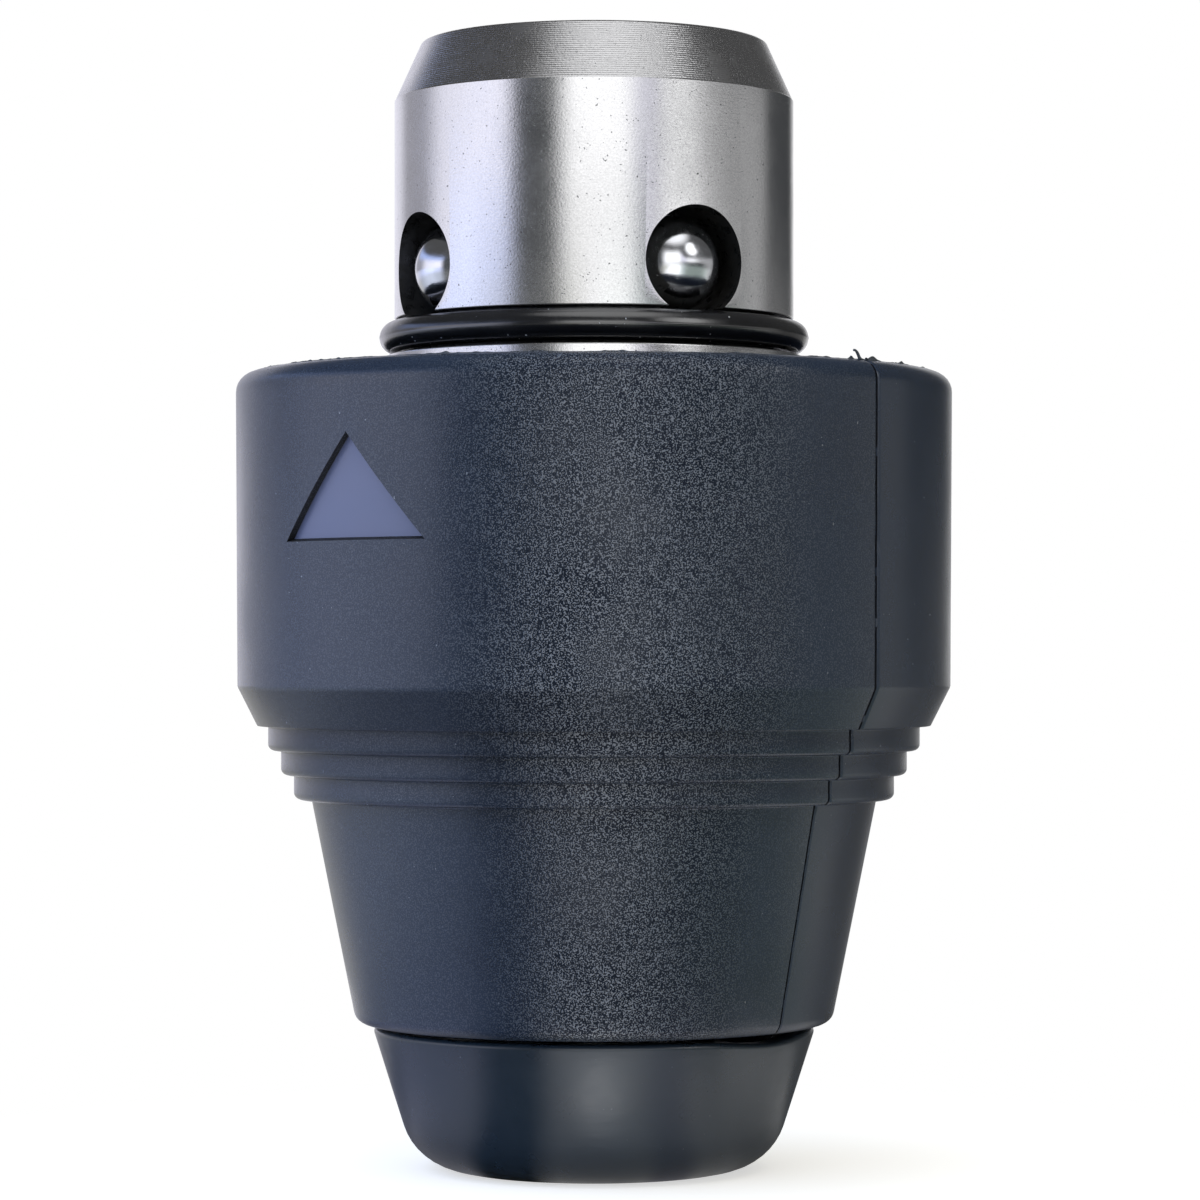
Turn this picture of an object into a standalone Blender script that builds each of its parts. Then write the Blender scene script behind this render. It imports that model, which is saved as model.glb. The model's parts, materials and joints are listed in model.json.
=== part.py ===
"""Quick-change chuck of a rotary hammer, as an assembly of its separate pieces.

A steel tool holder carries everything. Its nose takes a slotted 10 mm shank, which two balls lock;
its spigot goes over the machine's spindle, which four balls in windows lock. A moulded sleeve slides
back against a spring, and its locking ring then lets the tool balls move outwards.

Lengths are in metres. +Z runs from the nose to the machine, and the origin is the centre of the nose.
Radii are built from the bore outwards and heights from the nose upwards, so that a changed wall or
length moves all that lies on it.
"""

import math

import bmesh
import bpy
from mathutils import Matrix, Vector

# Clearances
SEAT_GAP = 0.0003              # between pieces that rest on each other
RUNNING_GAP = 0.0003           # between pieces that slide or turn on each other
BALL_GAP = 0.00015             # between a locking ball and what holds it

# Roundness: facets of the turned pieces, the wires and the balls
TURNED_FACETS = 44
CUTTER_FACETS = 24
O_RING_SECTION_FACETS = 8
COIL_POINTS = 16
BALL_FACETS = 16

# Tool end of the holder
SHANK_RADIUS = 0.005
SHANK_CLEARANCE = 0.00005
TOOL_BALL_RADIUS = 0.0035
BALL_ENTRY = 0.0019            # how far the locked balls stand into the bore
BALL_PROUD = 0.00115           # how far they stand out of the neck
BALL_SLOT_PLAY = 0.0001
BALL_SLOT_TAPER = 0.18         # narrowing per length, towards the bore
BALL_SLOT_LENGTH = 0.007       # axial room behind each ball, for a shank that pushes it back
DRIVE_KEY_WIDTH = 0.003
DRIVE_KEY_HEIGHT = 0.0013
NOSE_STEP = 0.00075            # the nose is turned down from the neck
CAP_GROOVE_DEPTH = 0.00085
CAP_GROOVE_WIDTH = 0.0022
CAP_GROOVE_INSET = 0.0024      # from the nose's end to the groove
BORE_CHAMFER = 0.0006

# Dust cap
CAP_HEIGHT = 0.0105
CAP_FACE = 0.0017              # thickness of the front wall
CAP_HUB_DROP = 0.0015          # the hub ends this far below the rim
CAP_HUB_WALL = 0.00205
CAP_INSET = 0.0012             # its rim stays inside the sleeve's edge by this
CAP_TAPER = 0.00335
CAP_ROUND = 0.005
CAP_WALL = 0.0018
CAP_POCKET_FLOOR = 0.003
CAP_LIP = 0.00015              # the lip grips the shank by this
CAP_MOUTH = 0.0012             # width of the mouth's chamfer

# Snap ring and washers
SNAP_WIRE_RADIUS = 0.00075
SNAP_GROOVE_DEPTH = 0.00085
SNAP_RING_LAND = 0.00125       # of the neck, in front of the groove
SNAP_RING_PLAY = 0.00025
SNAP_RING_OPENING = 30.0       # degrees
THRUST_WASHER_THICKNESS = 0.0012
SPRING_WASHER_THICKNESS = 0.0007

# Locking ring, plate and spring
SLEEVE_TRAVEL = 0.006
RING_LIP = 0.0005
RING_WALL = 0.00196            # at its wide mouth
PLATE_THICKNESS = 0.0012
SPRING_LENGTH = 0.0131
SPRING_WIRE_RADIUS = 0.0006
SPRING_TURNS = 5.0
SPRING_CLOSED_TURNS = 0.75     # at each end
SPRING_SIDE_GAP = 0.0015
SPRING_CONE = 0.0012           # the rear coil is smaller by this

# Machine end of the holder
STOP_LEDGE = 0.0006            # the sleeve's ledge meets the shoulder over this width
LAND_LENGTH = 0.0176
LAND_STEP = 0.0006             # the spigot is smaller than the land by this
O_RING_SECTION_RADIUS = 0.00116
O_RING_SIDE_GAP = 0.00019
O_RING_PROUD = 0.00111         # it stands out of the spigot by this
SPIGOT_LENGTH = 0.01615
SPIGOT_WALL = 0.0048
REAR_BEVEL_HEIGHT = 0.00435
REAR_BEVEL_WIDTH = 0.002
SOCKET_FLOOR_RISE = 0.0035     # above the shoulder
SOCKET_CHAMFER = 0.0004
KEYWAY_WIDTH = 0.0042
KEYWAY_DEPTH = 0.0012
KEYWAY_START = 0.004           # above the socket's floor
MACHINE_BALL_RADIUS = 0.0035
MACHINE_BALL_SINK = 0.0002     # below the spigot's surface at rest
WINDOW_PLAY = 0.0005
WINDOW_COUNT = 4
FIRST_WINDOW_ANGLE = -60.0     # degrees, from +X

# Sleeve, outside
COLLAR_THICKNESS = 0.002
FRONT_WALL = 0.0028
FRONT_ROUND = 0.001
CONE_LENGTH = 0.0165
CONE_RISE = 0.0033
CONE_LEDGE = 0.0013
STEP_COUNT = 3
STEP_HEIGHT = 0.0018
STEP_WIDTH = 0.00095
STEP_ROUND = 0.0006
BEVEL_LEDGE = 0.0008
BEVEL_HEIGHT = 0.0029
BARREL_LENGTH = 0.0231
BARREL_DRAFT = 0.00014
RIM_ROUND = 0.0014

# Sleeve, inside
HUB_WALL = 0.0026
HUB_LENGTH = 0.006             # of the guide above the hollow's floor
HOLLOW_WIDTH = 0.0052          # takes the machine's locking collar
HOLLOW_FLOOR_RISE = 0.0015     # above the holder's shoulder
BARREL_WALL = 0.003
POCKET_COUNT = 8
POCKET_INSET = 0.0003
POCKET_FLOOR_THICKNESS = 0.0004
RIB_THICKNESS = 0.0016

# Arrow on the barrel
ARROW_ANGLE = -130.7           # degrees, from +X
ARROW_WIDTH = 0.0133
ARROW_HEIGHT = 0.0077
ARROW_DROP = 0.0052            # from the rim to its point
ARROW_DEPTH = 0.0006
ARROW_DRAFT = 0.15             # widening per depth, so that it leaves the mould

# Radii that follow
BORE_RADIUS = SHANK_RADIUS + SHANK_CLEARANCE
TOOL_BALL_ORBIT = BORE_RADIUS - BALL_ENTRY + TOOL_BALL_RADIUS
NECK_RADIUS = TOOL_BALL_ORBIT + TOOL_BALL_RADIUS - BALL_PROUD
NOSE_RADIUS = NECK_RADIUS - NOSE_STEP
RAMP_SLOPE = BALL_ENTRY / SLEEVE_TRAVEL
RAMP_SECANT = math.hypot(1.0, RAMP_SLOPE)
LOCK_RADIUS = TOOL_BALL_ORBIT + TOOL_BALL_RADIUS + BALL_GAP
RAMP_RADIUS = TOOL_BALL_ORBIT + (TOOL_BALL_RADIUS + BALL_GAP) * RAMP_SECANT
MOUTH_RADIUS = RAMP_RADIUS + RAMP_SLOPE * (SLEEVE_TRAVEL + RING_LIP)
RING_RADIUS = MOUTH_RADIUS + RING_WALL
SLEEVE_BORE = RING_RADIUS + SEAT_GAP
WASHER_RADIUS = SLEEVE_BORE - 2 * RUNNING_GAP
WASHER_BORE = NECK_RADIUS + RUNNING_GAP
LAND_RADIUS = SLEEVE_BORE + STOP_LEDGE
SPIGOT_RADIUS = LAND_RADIUS - LAND_STEP
SOCKET_RADIUS = SPIGOT_RADIUS - SPIGOT_WALL
MACHINE_BALL_ORBIT = SPIGOT_RADIUS - MACHINE_BALL_SINK - MACHINE_BALL_RADIUS
O_RING_ORBIT = SPIGOT_RADIUS + O_RING_PROUD - O_RING_SECTION_RADIUS
HUB_BORE = LAND_RADIUS + RUNNING_GAP
HUB_RADIUS = HUB_BORE + HUB_WALL
HOLLOW_RADIUS = HUB_RADIUS + HOLLOW_WIDTH
BARREL_RADIUS = HOLLOW_RADIUS + BARREL_WALL
CONE_TIP_RADIUS = SLEEVE_BORE + FRONT_WALL
CONE_TOP_RADIUS = CONE_TIP_RADIUS + CONE_RISE
CAP_RIM_RADIUS = CONE_TIP_RADIUS - CAP_INSET
CAP_HUB_BORE = NOSE_RADIUS + SEAT_GAP

# Heights that follow
NOSE_Z = CAP_FACE + SEAT_GAP
SLEEVE_Z = CAP_HEIGHT + SEAT_GAP
CAP_HUB_Z = CAP_HEIGHT - CAP_HUB_DROP
NECK_Z = CAP_HUB_Z + SEAT_GAP
SNAP_RING_Z = NECK_Z + SNAP_RING_LAND + SNAP_RING_PLAY + SNAP_WIRE_RADIUS
THRUST_WASHER_Z = SNAP_RING_Z + SNAP_WIRE_RADIUS + SEAT_GAP
COLLAR_Z = THRUST_WASHER_Z + THRUST_WASHER_THICKNESS + SEAT_GAP
RING_Z = COLLAR_Z + COLLAR_THICKNESS + SEAT_GAP
TOOL_BALL_Z = RING_Z + RING_LIP + SLEEVE_TRAVEL
PLATE_Z = TOOL_BALL_Z + TOOL_BALL_RADIUS + BALL_GAP
RING_TOP_Z = PLATE_Z - SEAT_GAP
SPRING_Z = PLATE_Z + PLATE_THICKNESS + SEAT_GAP
SPRING_TOP_Z = SPRING_Z + SPRING_LENGTH
SPRING_WASHER_Z = SPRING_TOP_Z + SEAT_GAP
SHOULDER_Z = SPRING_WASHER_Z + SPRING_WASHER_THICKNESS + SEAT_GAP
O_RING_Z = SHOULDER_Z + LAND_LENGTH + O_RING_SIDE_GAP + O_RING_SECTION_RADIUS
SPIGOT_Z = O_RING_Z + O_RING_SECTION_RADIUS + O_RING_SIDE_GAP
WINDOW_Z = O_RING_Z + O_RING_SECTION_RADIUS + MACHINE_BALL_RADIUS
REAR_BEVEL_Z = SPIGOT_Z + SPIGOT_LENGTH
REAR_Z = REAR_BEVEL_Z + REAR_BEVEL_HEIGHT
SOCKET_Z = SHOULDER_Z + SOCKET_FLOOR_RISE
STOP_Z = SHOULDER_Z - SLEEVE_TRAVEL - SEAT_GAP
STEPS_Z = SLEEVE_Z + CONE_LENGTH
BEVEL_Z = STEPS_Z + STEP_COUNT * STEP_HEIGHT
BARREL_Z = BEVEL_Z + BEVEL_HEIGHT
RIM_Z = BARREL_Z + BARREL_LENGTH
HOLLOW_Z = SHOULDER_Z + HOLLOW_FLOOR_RISE
HUB_TOP_Z = HOLLOW_Z + HUB_LENGTH
POCKET_Z = BARREL_Z + POCKET_FLOOR_THICKNESS

OVERCUT = 0.001                # cutters run past the surfaces that they open


# ---------------------------------------------------------------- scene, materials and helpers

def clear_scene():
    for obj in list(bpy.data.objects):
        bpy.data.objects.remove(obj, do_unlink=True)


def new_collection(name):
    collection = bpy.data.collections.new(name)
    bpy.context.scene.collection.children.link(collection)
    return collection


def make_material(name, color, roughness, metallic):
    material = bpy.data.materials.new(name)
    material.use_nodes = True
    shader = material.node_tree.nodes["Principled BSDF"]
    shader.inputs["Base Color"].default_value = (*color, 1.0)
    shader.inputs["Roughness"].default_value = roughness
    shader.inputs["Metallic"].default_value = metallic
    material.diffuse_color = (*color, 1.0)
    return material


def add_object(name, data, collection, material=None):
    obj = bpy.data.objects.new(name, data)
    collection.objects.link(obj)
    if material:
        data.materials.append(material)
    return obj


def as_cutter(obj):
    obj.display_type = "WIRE"
    obj.hide_render = True
    return obj


def apply_boolean(target, other, operation):
    modifier = target.modifiers.new(other.name, "BOOLEAN")
    modifier.object = other
    modifier.operation = operation
    modifier.solver = "EXACT"


def arc_points(centre, radius, start, sweep, steps):
    """Points along an arc, with its angles in radians."""
    points = []
    for step in range(steps + 1):
        angle = start + sweep * step / steps
        points.append((centre[0] + radius * math.cos(angle), centre[1] + radius * math.sin(angle)))
    return points


def rounded(corners, steps=2):
    """An outline through corners of (radius, height, fillet). Fillets stay within their edges."""
    outline = []
    for index, (x, z, fillet) in enumerate(corners):
        if not fillet:
            outline.append((x, z))
            continue
        corner = Vector((x, z))
        before = Vector(corners[index - 1][:2]) - corner
        after = Vector(corners[(index + 1) % len(corners)][:2]) - corner
        half_angle = before.angle(after) / 2
        reach = min(fillet / math.tan(half_angle), before.length * 0.49, after.length * 0.49)
        centre = corner + (before.normalized() + after.normalized()).normalized() * (
            reach / math.cos(half_angle))
        first = corner + before.normalized() * reach - centre
        last = corner + after.normalized() * reach - centre
        start = math.atan2(first.y, first.x)
        sweep = (math.atan2(last.y, last.x) - start + math.pi) % (2 * math.pi) - math.pi
        outline += arc_points(centre, first.length, start, sweep, steps)
    return outline


def turned(name, outline, collection, material=None, closed=True, facets=TURNED_FACETS):
    """A turned piece: the outline runs down its outer side and back up the inner one."""
    mesh = bpy.data.meshes.new(name)
    count = len(outline)
    edges = [(i, (i + 1) % count) for i in range(count if closed else count - 1)]
    mesh.from_pydata([(r, 0.0, z) for r, z in outline], edges, [])
    obj = add_object(name, mesh, collection, material)
    screw = obj.modifiers.new("turn", "SCREW")
    screw.axis = "Z"
    screw.angle = 2 * math.pi
    screw.steps = facets
    screw.render_steps = facets
    screw.use_merge_vertices = True
    screw.merge_threshold = 0.00001
    screw.use_smooth_shade = True
    return obj


def ring(name, inner, outer, bottom, thickness, collection, material):
    """A flat ring."""
    top = bottom + thickness
    outline = [(outer, top), (outer, bottom), (inner, bottom), (inner, top)]
    return turned(name, outline, collection, material)


def wire(name, points, wire_radius, collection, material):
    """A bent wire with filled ends."""
    curve = bpy.data.curves.new(name, "CURVE")
    curve.dimensions = "3D"
    curve.bevel_depth = wire_radius
    curve.bevel_resolution = 2
    curve.use_fill_caps = True
    spline = curve.splines.new("POLY")
    spline.points.add(len(points) - 1)
    for point, place in zip(spline.points, points):
        point.co = (*place, 1.0)
    return add_object(name, curve, collection, material)


def ball(name, radius, orbit, angle, height, collection, material):
    """A ball whose origin lies on its radial line."""
    mesh = bpy.data.meshes.new(name)
    shape = bmesh.new()
    bmesh.ops.create_uvsphere(shape, u_segments=BALL_FACETS, v_segments=BALL_FACETS // 2, radius=radius)
    shape.to_mesh(mesh)
    shape.free()
    mesh.shade_smooth()
    obj = add_object(name, mesh, collection, material)
    obj.location = (orbit * math.cos(angle), orbit * math.sin(angle), height)
    obj.rotation_euler.z = angle
    return obj


def block(name, low, high, angle, collection):
    """A box between two corners, turned about the Z axis."""
    mesh = bpy.data.meshes.new(name)
    shape = bmesh.new()
    size = Vector(high) - Vector(low)
    middle = (Vector(high) + Vector(low)) / 2
    place = Matrix.Translation(middle) @ Matrix.Diagonal((*size, 1.0))
    bmesh.ops.create_cube(shape, size=1.0, matrix=place)
    shape.to_mesh(mesh)
    shape.free()
    obj = add_object(name, mesh, collection)
    obj.rotation_euler.z = angle
    return as_cutter(obj)


def hull(name, points, angle, collection):
    """The convex body round some points, turned about the Z axis."""
    mesh = bpy.data.meshes.new(name)
    shape = bmesh.new()
    for point in points:
        shape.verts.new(point)
    body = bmesh.ops.convex_hull(shape, input=shape.verts)
    inside = [item for item in body["geom_interior"] if isinstance(item, bmesh.types.BMVert)]
    bmesh.ops.delete(shape, geom=inside, context="VERTS")
    shape.to_mesh(mesh)
    shape.free()
    obj = add_object(name, mesh, collection)
    obj.rotation_euler.z = angle
    return as_cutter(obj)


# ---------------------------------------------------------------- tool holder

def holder_outline():
    groove_radius = O_RING_ORBIT - O_RING_SECTION_RADIUS - O_RING_SIDE_GAP
    groove_z = SHOULDER_Z + LAND_LENGTH
    snap_radius = NECK_RADIUS - SNAP_GROOVE_DEPTH
    snap_low = SNAP_RING_Z - SNAP_WIRE_RADIUS - SNAP_RING_PLAY
    snap_high = SNAP_RING_Z + SNAP_WIRE_RADIUS + SNAP_RING_PLAY
    cap_groove_z = NOSE_Z + CAP_GROOVE_INSET
    cap_groove_radius = NOSE_RADIUS - CAP_GROOVE_DEPTH
    return rounded([
        (SPIGOT_RADIUS - REAR_BEVEL_WIDTH, REAR_Z, 0),
        (SPIGOT_RADIUS, REAR_BEVEL_Z, 0),
        (SPIGOT_RADIUS, SPIGOT_Z, 0),
        (groove_radius, SPIGOT_Z, 0),
        (groove_radius, groove_z, 0),
        (LAND_RADIUS, groove_z, 0),
        (LAND_RADIUS, SHOULDER_Z, 0),
        (NECK_RADIUS, SHOULDER_Z, 0),
        (NECK_RADIUS, snap_high, 0),
        (snap_radius, snap_high, 0),
        (snap_radius, snap_low, 0),
        (NECK_RADIUS, snap_low, 0),
        (NECK_RADIUS, NECK_Z, 0),
        (NOSE_RADIUS, NECK_Z, 0),
        (NOSE_RADIUS, cap_groove_z + CAP_GROOVE_WIDTH, 0),
        (cap_groove_radius, cap_groove_z + CAP_GROOVE_WIDTH, 0),
        (cap_groove_radius, cap_groove_z, 0),
        (NOSE_RADIUS, cap_groove_z, 0),
        (NOSE_RADIUS, NOSE_Z, BORE_CHAMFER),
        (BORE_RADIUS + BORE_CHAMFER, NOSE_Z, 0),
        (BORE_RADIUS, NOSE_Z + BORE_CHAMFER, 0),
        (BORE_RADIUS, SOCKET_Z, 0),
        (SOCKET_RADIUS, SOCKET_Z, 0),
        (SOCKET_RADIUS, REAR_Z - SOCKET_CHAMFER, 0),
        (SOCKET_RADIUS + SOCKET_CHAMFER, REAR_Z, 0),
    ], 1)


def ball_slot_cutter(name, angle, collection):
    """A long slot with round ends, whose walls close towards the bore so that the ball stays in."""
    straight = TOOL_BALL_RADIUS + BALL_SLOT_PLAY
    taper_end = TOOL_BALL_ORBIT - BALL_SLOT_PLAY
    closing = BALL_SLOT_TAPER * (taper_end - BORE_RADIUS / 2)
    levels = [(BORE_RADIUS / 2, straight - closing), (taper_end, straight), (RING_RADIUS, straight)]
    points = [
        (depth, y, z)
        for height in (TOOL_BALL_Z, TOOL_BALL_Z + BALL_SLOT_LENGTH)
        for depth, half_width in levels
        for y, z in arc_points((0, height), half_width, 0, 2 * math.pi, CUTTER_FACETS)[:-1]
    ]
    return hull(name, points, angle, collection)


def window_cutter(name, angle, collection):
    """A round window with a conical seat at its inner end."""
    window_radius = MACHINE_BALL_RADIUS + WINDOW_PLAY
    seat_end = MACHINE_BALL_ORBIT - WINDOW_PLAY
    seat_start = SOCKET_RADIUS - OVERCUT
    seat_radius = window_radius - WINDOW_PLAY - BALL_GAP - SEAT_GAP / 2
    outline = [
        (0, SPIGOT_RADIUS + OVERCUT),
        (window_radius, SPIGOT_RADIUS + OVERCUT),
        (window_radius, seat_end),
        (seat_radius, seat_start),
        (0, seat_start),
    ]
    obj = turned(name, outline, collection, closed=False, facets=CUTTER_FACETS)
    obj.rotation_euler = (0, math.pi / 2, angle)
    obj.location.z = WINDOW_Z
    return as_cutter(obj)


def window_angles():
    return [math.radians(FIRST_WINDOW_ANGLE - 360 / WINDOW_COUNT * i) for i in range(WINDOW_COUNT)]


def make_holder(pieces, cutters, steel):
    holder = turned("holder_body", holder_outline(), pieces, steel)
    for index in range(2):
        turn = math.pi * index
        key = block(
            f"drive_key_{index + 1}",
            (BORE_RADIUS - DRIVE_KEY_HEIGHT, -DRIVE_KEY_WIDTH / 2, NECK_Z),
            (BORE_RADIUS + OVERCUT, DRIVE_KEY_WIDTH / 2, SHOULDER_Z),
            turn + math.pi / 2, cutters)
        apply_boolean(holder, key, "UNION")
        slot = ball_slot_cutter(f"ball_slot_{index + 1}", turn, cutters)
        apply_boolean(holder, slot, "DIFFERENCE")
    for index, angle in enumerate(window_angles()):
        window = window_cutter(f"window_{index + 1}", angle, cutters)
        apply_boolean(holder, window, "DIFFERENCE")
        keyway = block(
            f"keyway_{index + 1}",
            (SOCKET_RADIUS - OVERCUT, -KEYWAY_WIDTH / 2, SOCKET_Z + KEYWAY_START),
            (SOCKET_RADIUS + KEYWAY_DEPTH, KEYWAY_WIDTH / 2, REAR_Z + OVERCUT),
            angle + math.pi / WINDOW_COUNT, cutters)
        apply_boolean(holder, keyway, "DIFFERENCE")
    return holder


def make_o_ring(pieces, rubber):
    section = arc_points((O_RING_ORBIT, O_RING_Z), O_RING_SECTION_RADIUS, math.pi / 2, -2 * math.pi,
                         O_RING_SECTION_FACETS)
    return turned("retaining_o_ring", section[:-1], pieces, rubber)


def make_machine_balls(pieces, steel):
    return [
        ball(f"machine_lock_ball_{index + 1}", MACHINE_BALL_RADIUS, MACHINE_BALL_ORBIT, angle,
             WINDOW_Z, pieces, steel)
        for index, angle in enumerate(window_angles())
    ]


# ---------------------------------------------------------------- nose: cap, snap ring, washers

def cap_outline():
    bead_z = NOSE_Z + CAP_GROOVE_INSET + SEAT_GAP
    bead_height = CAP_GROOVE_WIDTH - 2 * SEAT_GAP
    bead_radius = CAP_HUB_BORE - CAP_GROOVE_DEPTH
    bead_slope = SEAT_GAP
    lip_radius = BORE_RADIUS - CAP_LIP
    hub_radius = CAP_HUB_BORE + CAP_HUB_WALL
    base_radius = CAP_RIM_RADIUS - CAP_TAPER
    floor_radius = base_radius + CAP_TAPER * CAP_POCKET_FLOOR / CAP_HEIGHT - CAP_WALL
    return (
        rounded([(CAP_RIM_RADIUS - CAP_WALL, CAP_HEIGHT, 0), (CAP_RIM_RADIUS, CAP_HEIGHT, 0),
                 (base_radius, 0, CAP_ROUND), (lip_radius + CAP_MOUTH, 0, 0)], 5)
        + [
            (lip_radius, CAP_FACE / 2),
            (lip_radius, CAP_FACE),
            (CAP_HUB_BORE, CAP_FACE),
            (CAP_HUB_BORE, bead_z),
            (bead_radius, bead_z + bead_slope),
            (bead_radius, bead_z + bead_height - bead_slope),
            (CAP_HUB_BORE, bead_z + bead_height),
            (CAP_HUB_BORE, CAP_HUB_Z),
            (hub_radius, CAP_HUB_Z),
            (hub_radius, CAP_POCKET_FLOOR),
            (floor_radius, CAP_POCKET_FLOOR),
        ]
    )


def make_dust_cap(pieces, rubber):
    return turned("dust_cap", cap_outline(), pieces, rubber)


def make_snap_ring(pieces, steel):
    orbit = NECK_RADIUS - SNAP_GROOVE_DEPTH + SEAT_GAP + SNAP_WIRE_RADIUS
    opening = math.radians(SNAP_RING_OPENING)
    path = arc_points((0, 0), orbit, opening / 2, 2 * math.pi - opening, 2 * COIL_POINTS)
    return wire("snap_ring", [(x, y, SNAP_RING_Z) for x, y in path], SNAP_WIRE_RADIUS, pieces, steel)


def make_washers(pieces, steel):
    ring("thrust_washer", WASHER_BORE, WASHER_RADIUS, THRUST_WASHER_Z, THRUST_WASHER_THICKNESS,
         pieces, steel)
    ring("spring_seat_washer", WASHER_BORE, WASHER_RADIUS, SPRING_WASHER_Z, SPRING_WASHER_THICKNESS,
         pieces, steel)


# ---------------------------------------------------------------- tool lock: ring, plate, balls, spring

def make_locking_ring(pieces, steel):
    """The land holds the balls in; the cone below it lets them out as the sleeve goes back."""
    land_z = TOOL_BALL_Z + (RAMP_RADIUS - LOCK_RADIUS) / RAMP_SLOPE
    outline = rounded([
        (RING_RADIUS, RING_TOP_Z, SEAT_GAP),
        (RING_RADIUS, RING_Z, SEAT_GAP),
        (MOUTH_RADIUS, RING_Z, 0),
        (LOCK_RADIUS, land_z, 0),
        (LOCK_RADIUS, RING_TOP_Z, 0),
    ], 1)
    return turned("locking_ring", outline, pieces, steel)


def make_plate(pieces, steel):
    return ring("ball_retaining_plate", WASHER_BORE, WASHER_RADIUS, PLATE_Z, PLATE_THICKNESS,
                pieces, steel)


def make_tool_balls(pieces, steel):
    return [
        ball(f"tool_lock_ball_{index + 1}", TOOL_BALL_RADIUS, TOOL_BALL_ORBIT, math.pi * index,
             TOOL_BALL_Z, pieces, steel)
        for index in range(2)
    ]


def spring_height(turn):
    """Height of the wire's centre above the first coil: closed coils at both ends, open between."""
    closed_pitch = 2 * SPRING_WIRE_RADIUS + SEAT_GAP
    rise = SPRING_LENGTH - 2 * SPRING_WIRE_RADIUS
    open_turns = SPRING_TURNS - 2 * SPRING_CLOSED_TURNS
    open_pitch = (rise - 2 * SPRING_CLOSED_TURNS * closed_pitch) / open_turns
    first = min(turn, SPRING_CLOSED_TURNS)
    middle = min(max(turn - SPRING_CLOSED_TURNS, 0), open_turns)
    last = max(turn - SPRING_CLOSED_TURNS - open_turns, 0)
    return (first + last) * closed_pitch + middle * open_pitch


def make_spring(pieces, steel):
    front_orbit = SLEEVE_BORE - SPRING_SIDE_GAP - SPRING_WIRE_RADIUS
    count = round(SPRING_TURNS * COIL_POINTS)
    path = []
    for index in range(count + 1):
        turn = SPRING_TURNS * index / count
        orbit = front_orbit - SPRING_CONE * index / count
        angle = 2 * math.pi * turn
        height = SPRING_Z + SPRING_WIRE_RADIUS + spring_height(turn)
        path.append((orbit * math.cos(angle), orbit * math.sin(angle), height))
    return wire("compression_spring", path, SPRING_WIRE_RADIUS, pieces, steel)


# ---------------------------------------------------------------- sleeve

def sleeve_outside():
    """From the rim down the barrel, bevel, steps and cone to the front edge."""
    corners = [
        (BARREL_RADIUS, RIM_Z, RIM_ROUND),
        (BARREL_RADIUS - BARREL_DRAFT, BARREL_Z, STEP_ROUND),
    ]
    step_radius = CONE_TOP_RADIUS + CONE_LEDGE + STEP_WIDTH * (STEP_COUNT - 1)
    corners.append((step_radius + BEVEL_LEDGE, BEVEL_Z, 0))
    for index in range(STEP_COUNT):
        top = BEVEL_Z - STEP_HEIGHT * index
        corners.append((step_radius, top, 0))
        corners.append((step_radius, top - STEP_HEIGHT, STEP_ROUND))
        step_radius -= STEP_WIDTH
    corners.append((CONE_TOP_RADIUS, STEPS_Z, 0))
    corners.append((CONE_TIP_RADIUS, SLEEVE_Z, FRONT_ROUND))
    return corners


def sleeve_inside():
    """From the front edge up the bore, past the collar and the stop ledge, to the hub and the hollow."""
    return [
        (SLEEVE_BORE, SLEEVE_Z, 0),
        (SLEEVE_BORE, COLLAR_Z, 0),
        (MOUTH_RADIUS, COLLAR_Z, 0),
        (MOUTH_RADIUS, COLLAR_Z + COLLAR_THICKNESS, 0),
        (SLEEVE_BORE, COLLAR_Z + COLLAR_THICKNESS, 0),
        (SLEEVE_BORE, STOP_Z, 0),
        (HUB_BORE, STOP_Z, 0),
        (HUB_BORE, HUB_TOP_Z, 0),
        (HUB_RADIUS, HUB_TOP_Z, STEP_ROUND),
        (HUB_RADIUS, HOLLOW_Z, 0),
        (HOLLOW_RADIUS, HOLLOW_Z, STEP_ROUND),
        (HOLLOW_RADIUS, RIM_Z, STEP_ROUND),
    ]


def pocket_cutter(cutters):
    """A ring below the hollow's floor, which radial ribs divide into cored pockets."""
    inner = HUB_RADIUS + POCKET_INSET
    outer = HOLLOW_RADIUS - STEP_ROUND - POCKET_INSET
    top = HOLLOW_Z + OVERCUT
    outline = [(outer, top), (outer, POCKET_Z), (inner, POCKET_Z), (inner, top)]
    pockets = as_cutter(turned("pockets", outline, cutters))
    for index in range(POCKET_COUNT // 2):
        ribs = block(
            f"ribs_{index + 1}",
            (-BARREL_RADIUS, -RIB_THICKNESS / 2, POCKET_Z - OVERCUT),
            (BARREL_RADIUS, RIB_THICKNESS / 2, top + OVERCUT),
            2 * math.pi * (index + 0.5) / POCKET_COUNT, cutters)
        apply_boolean(pockets, ribs, "DIFFERENCE")
    return pockets


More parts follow.
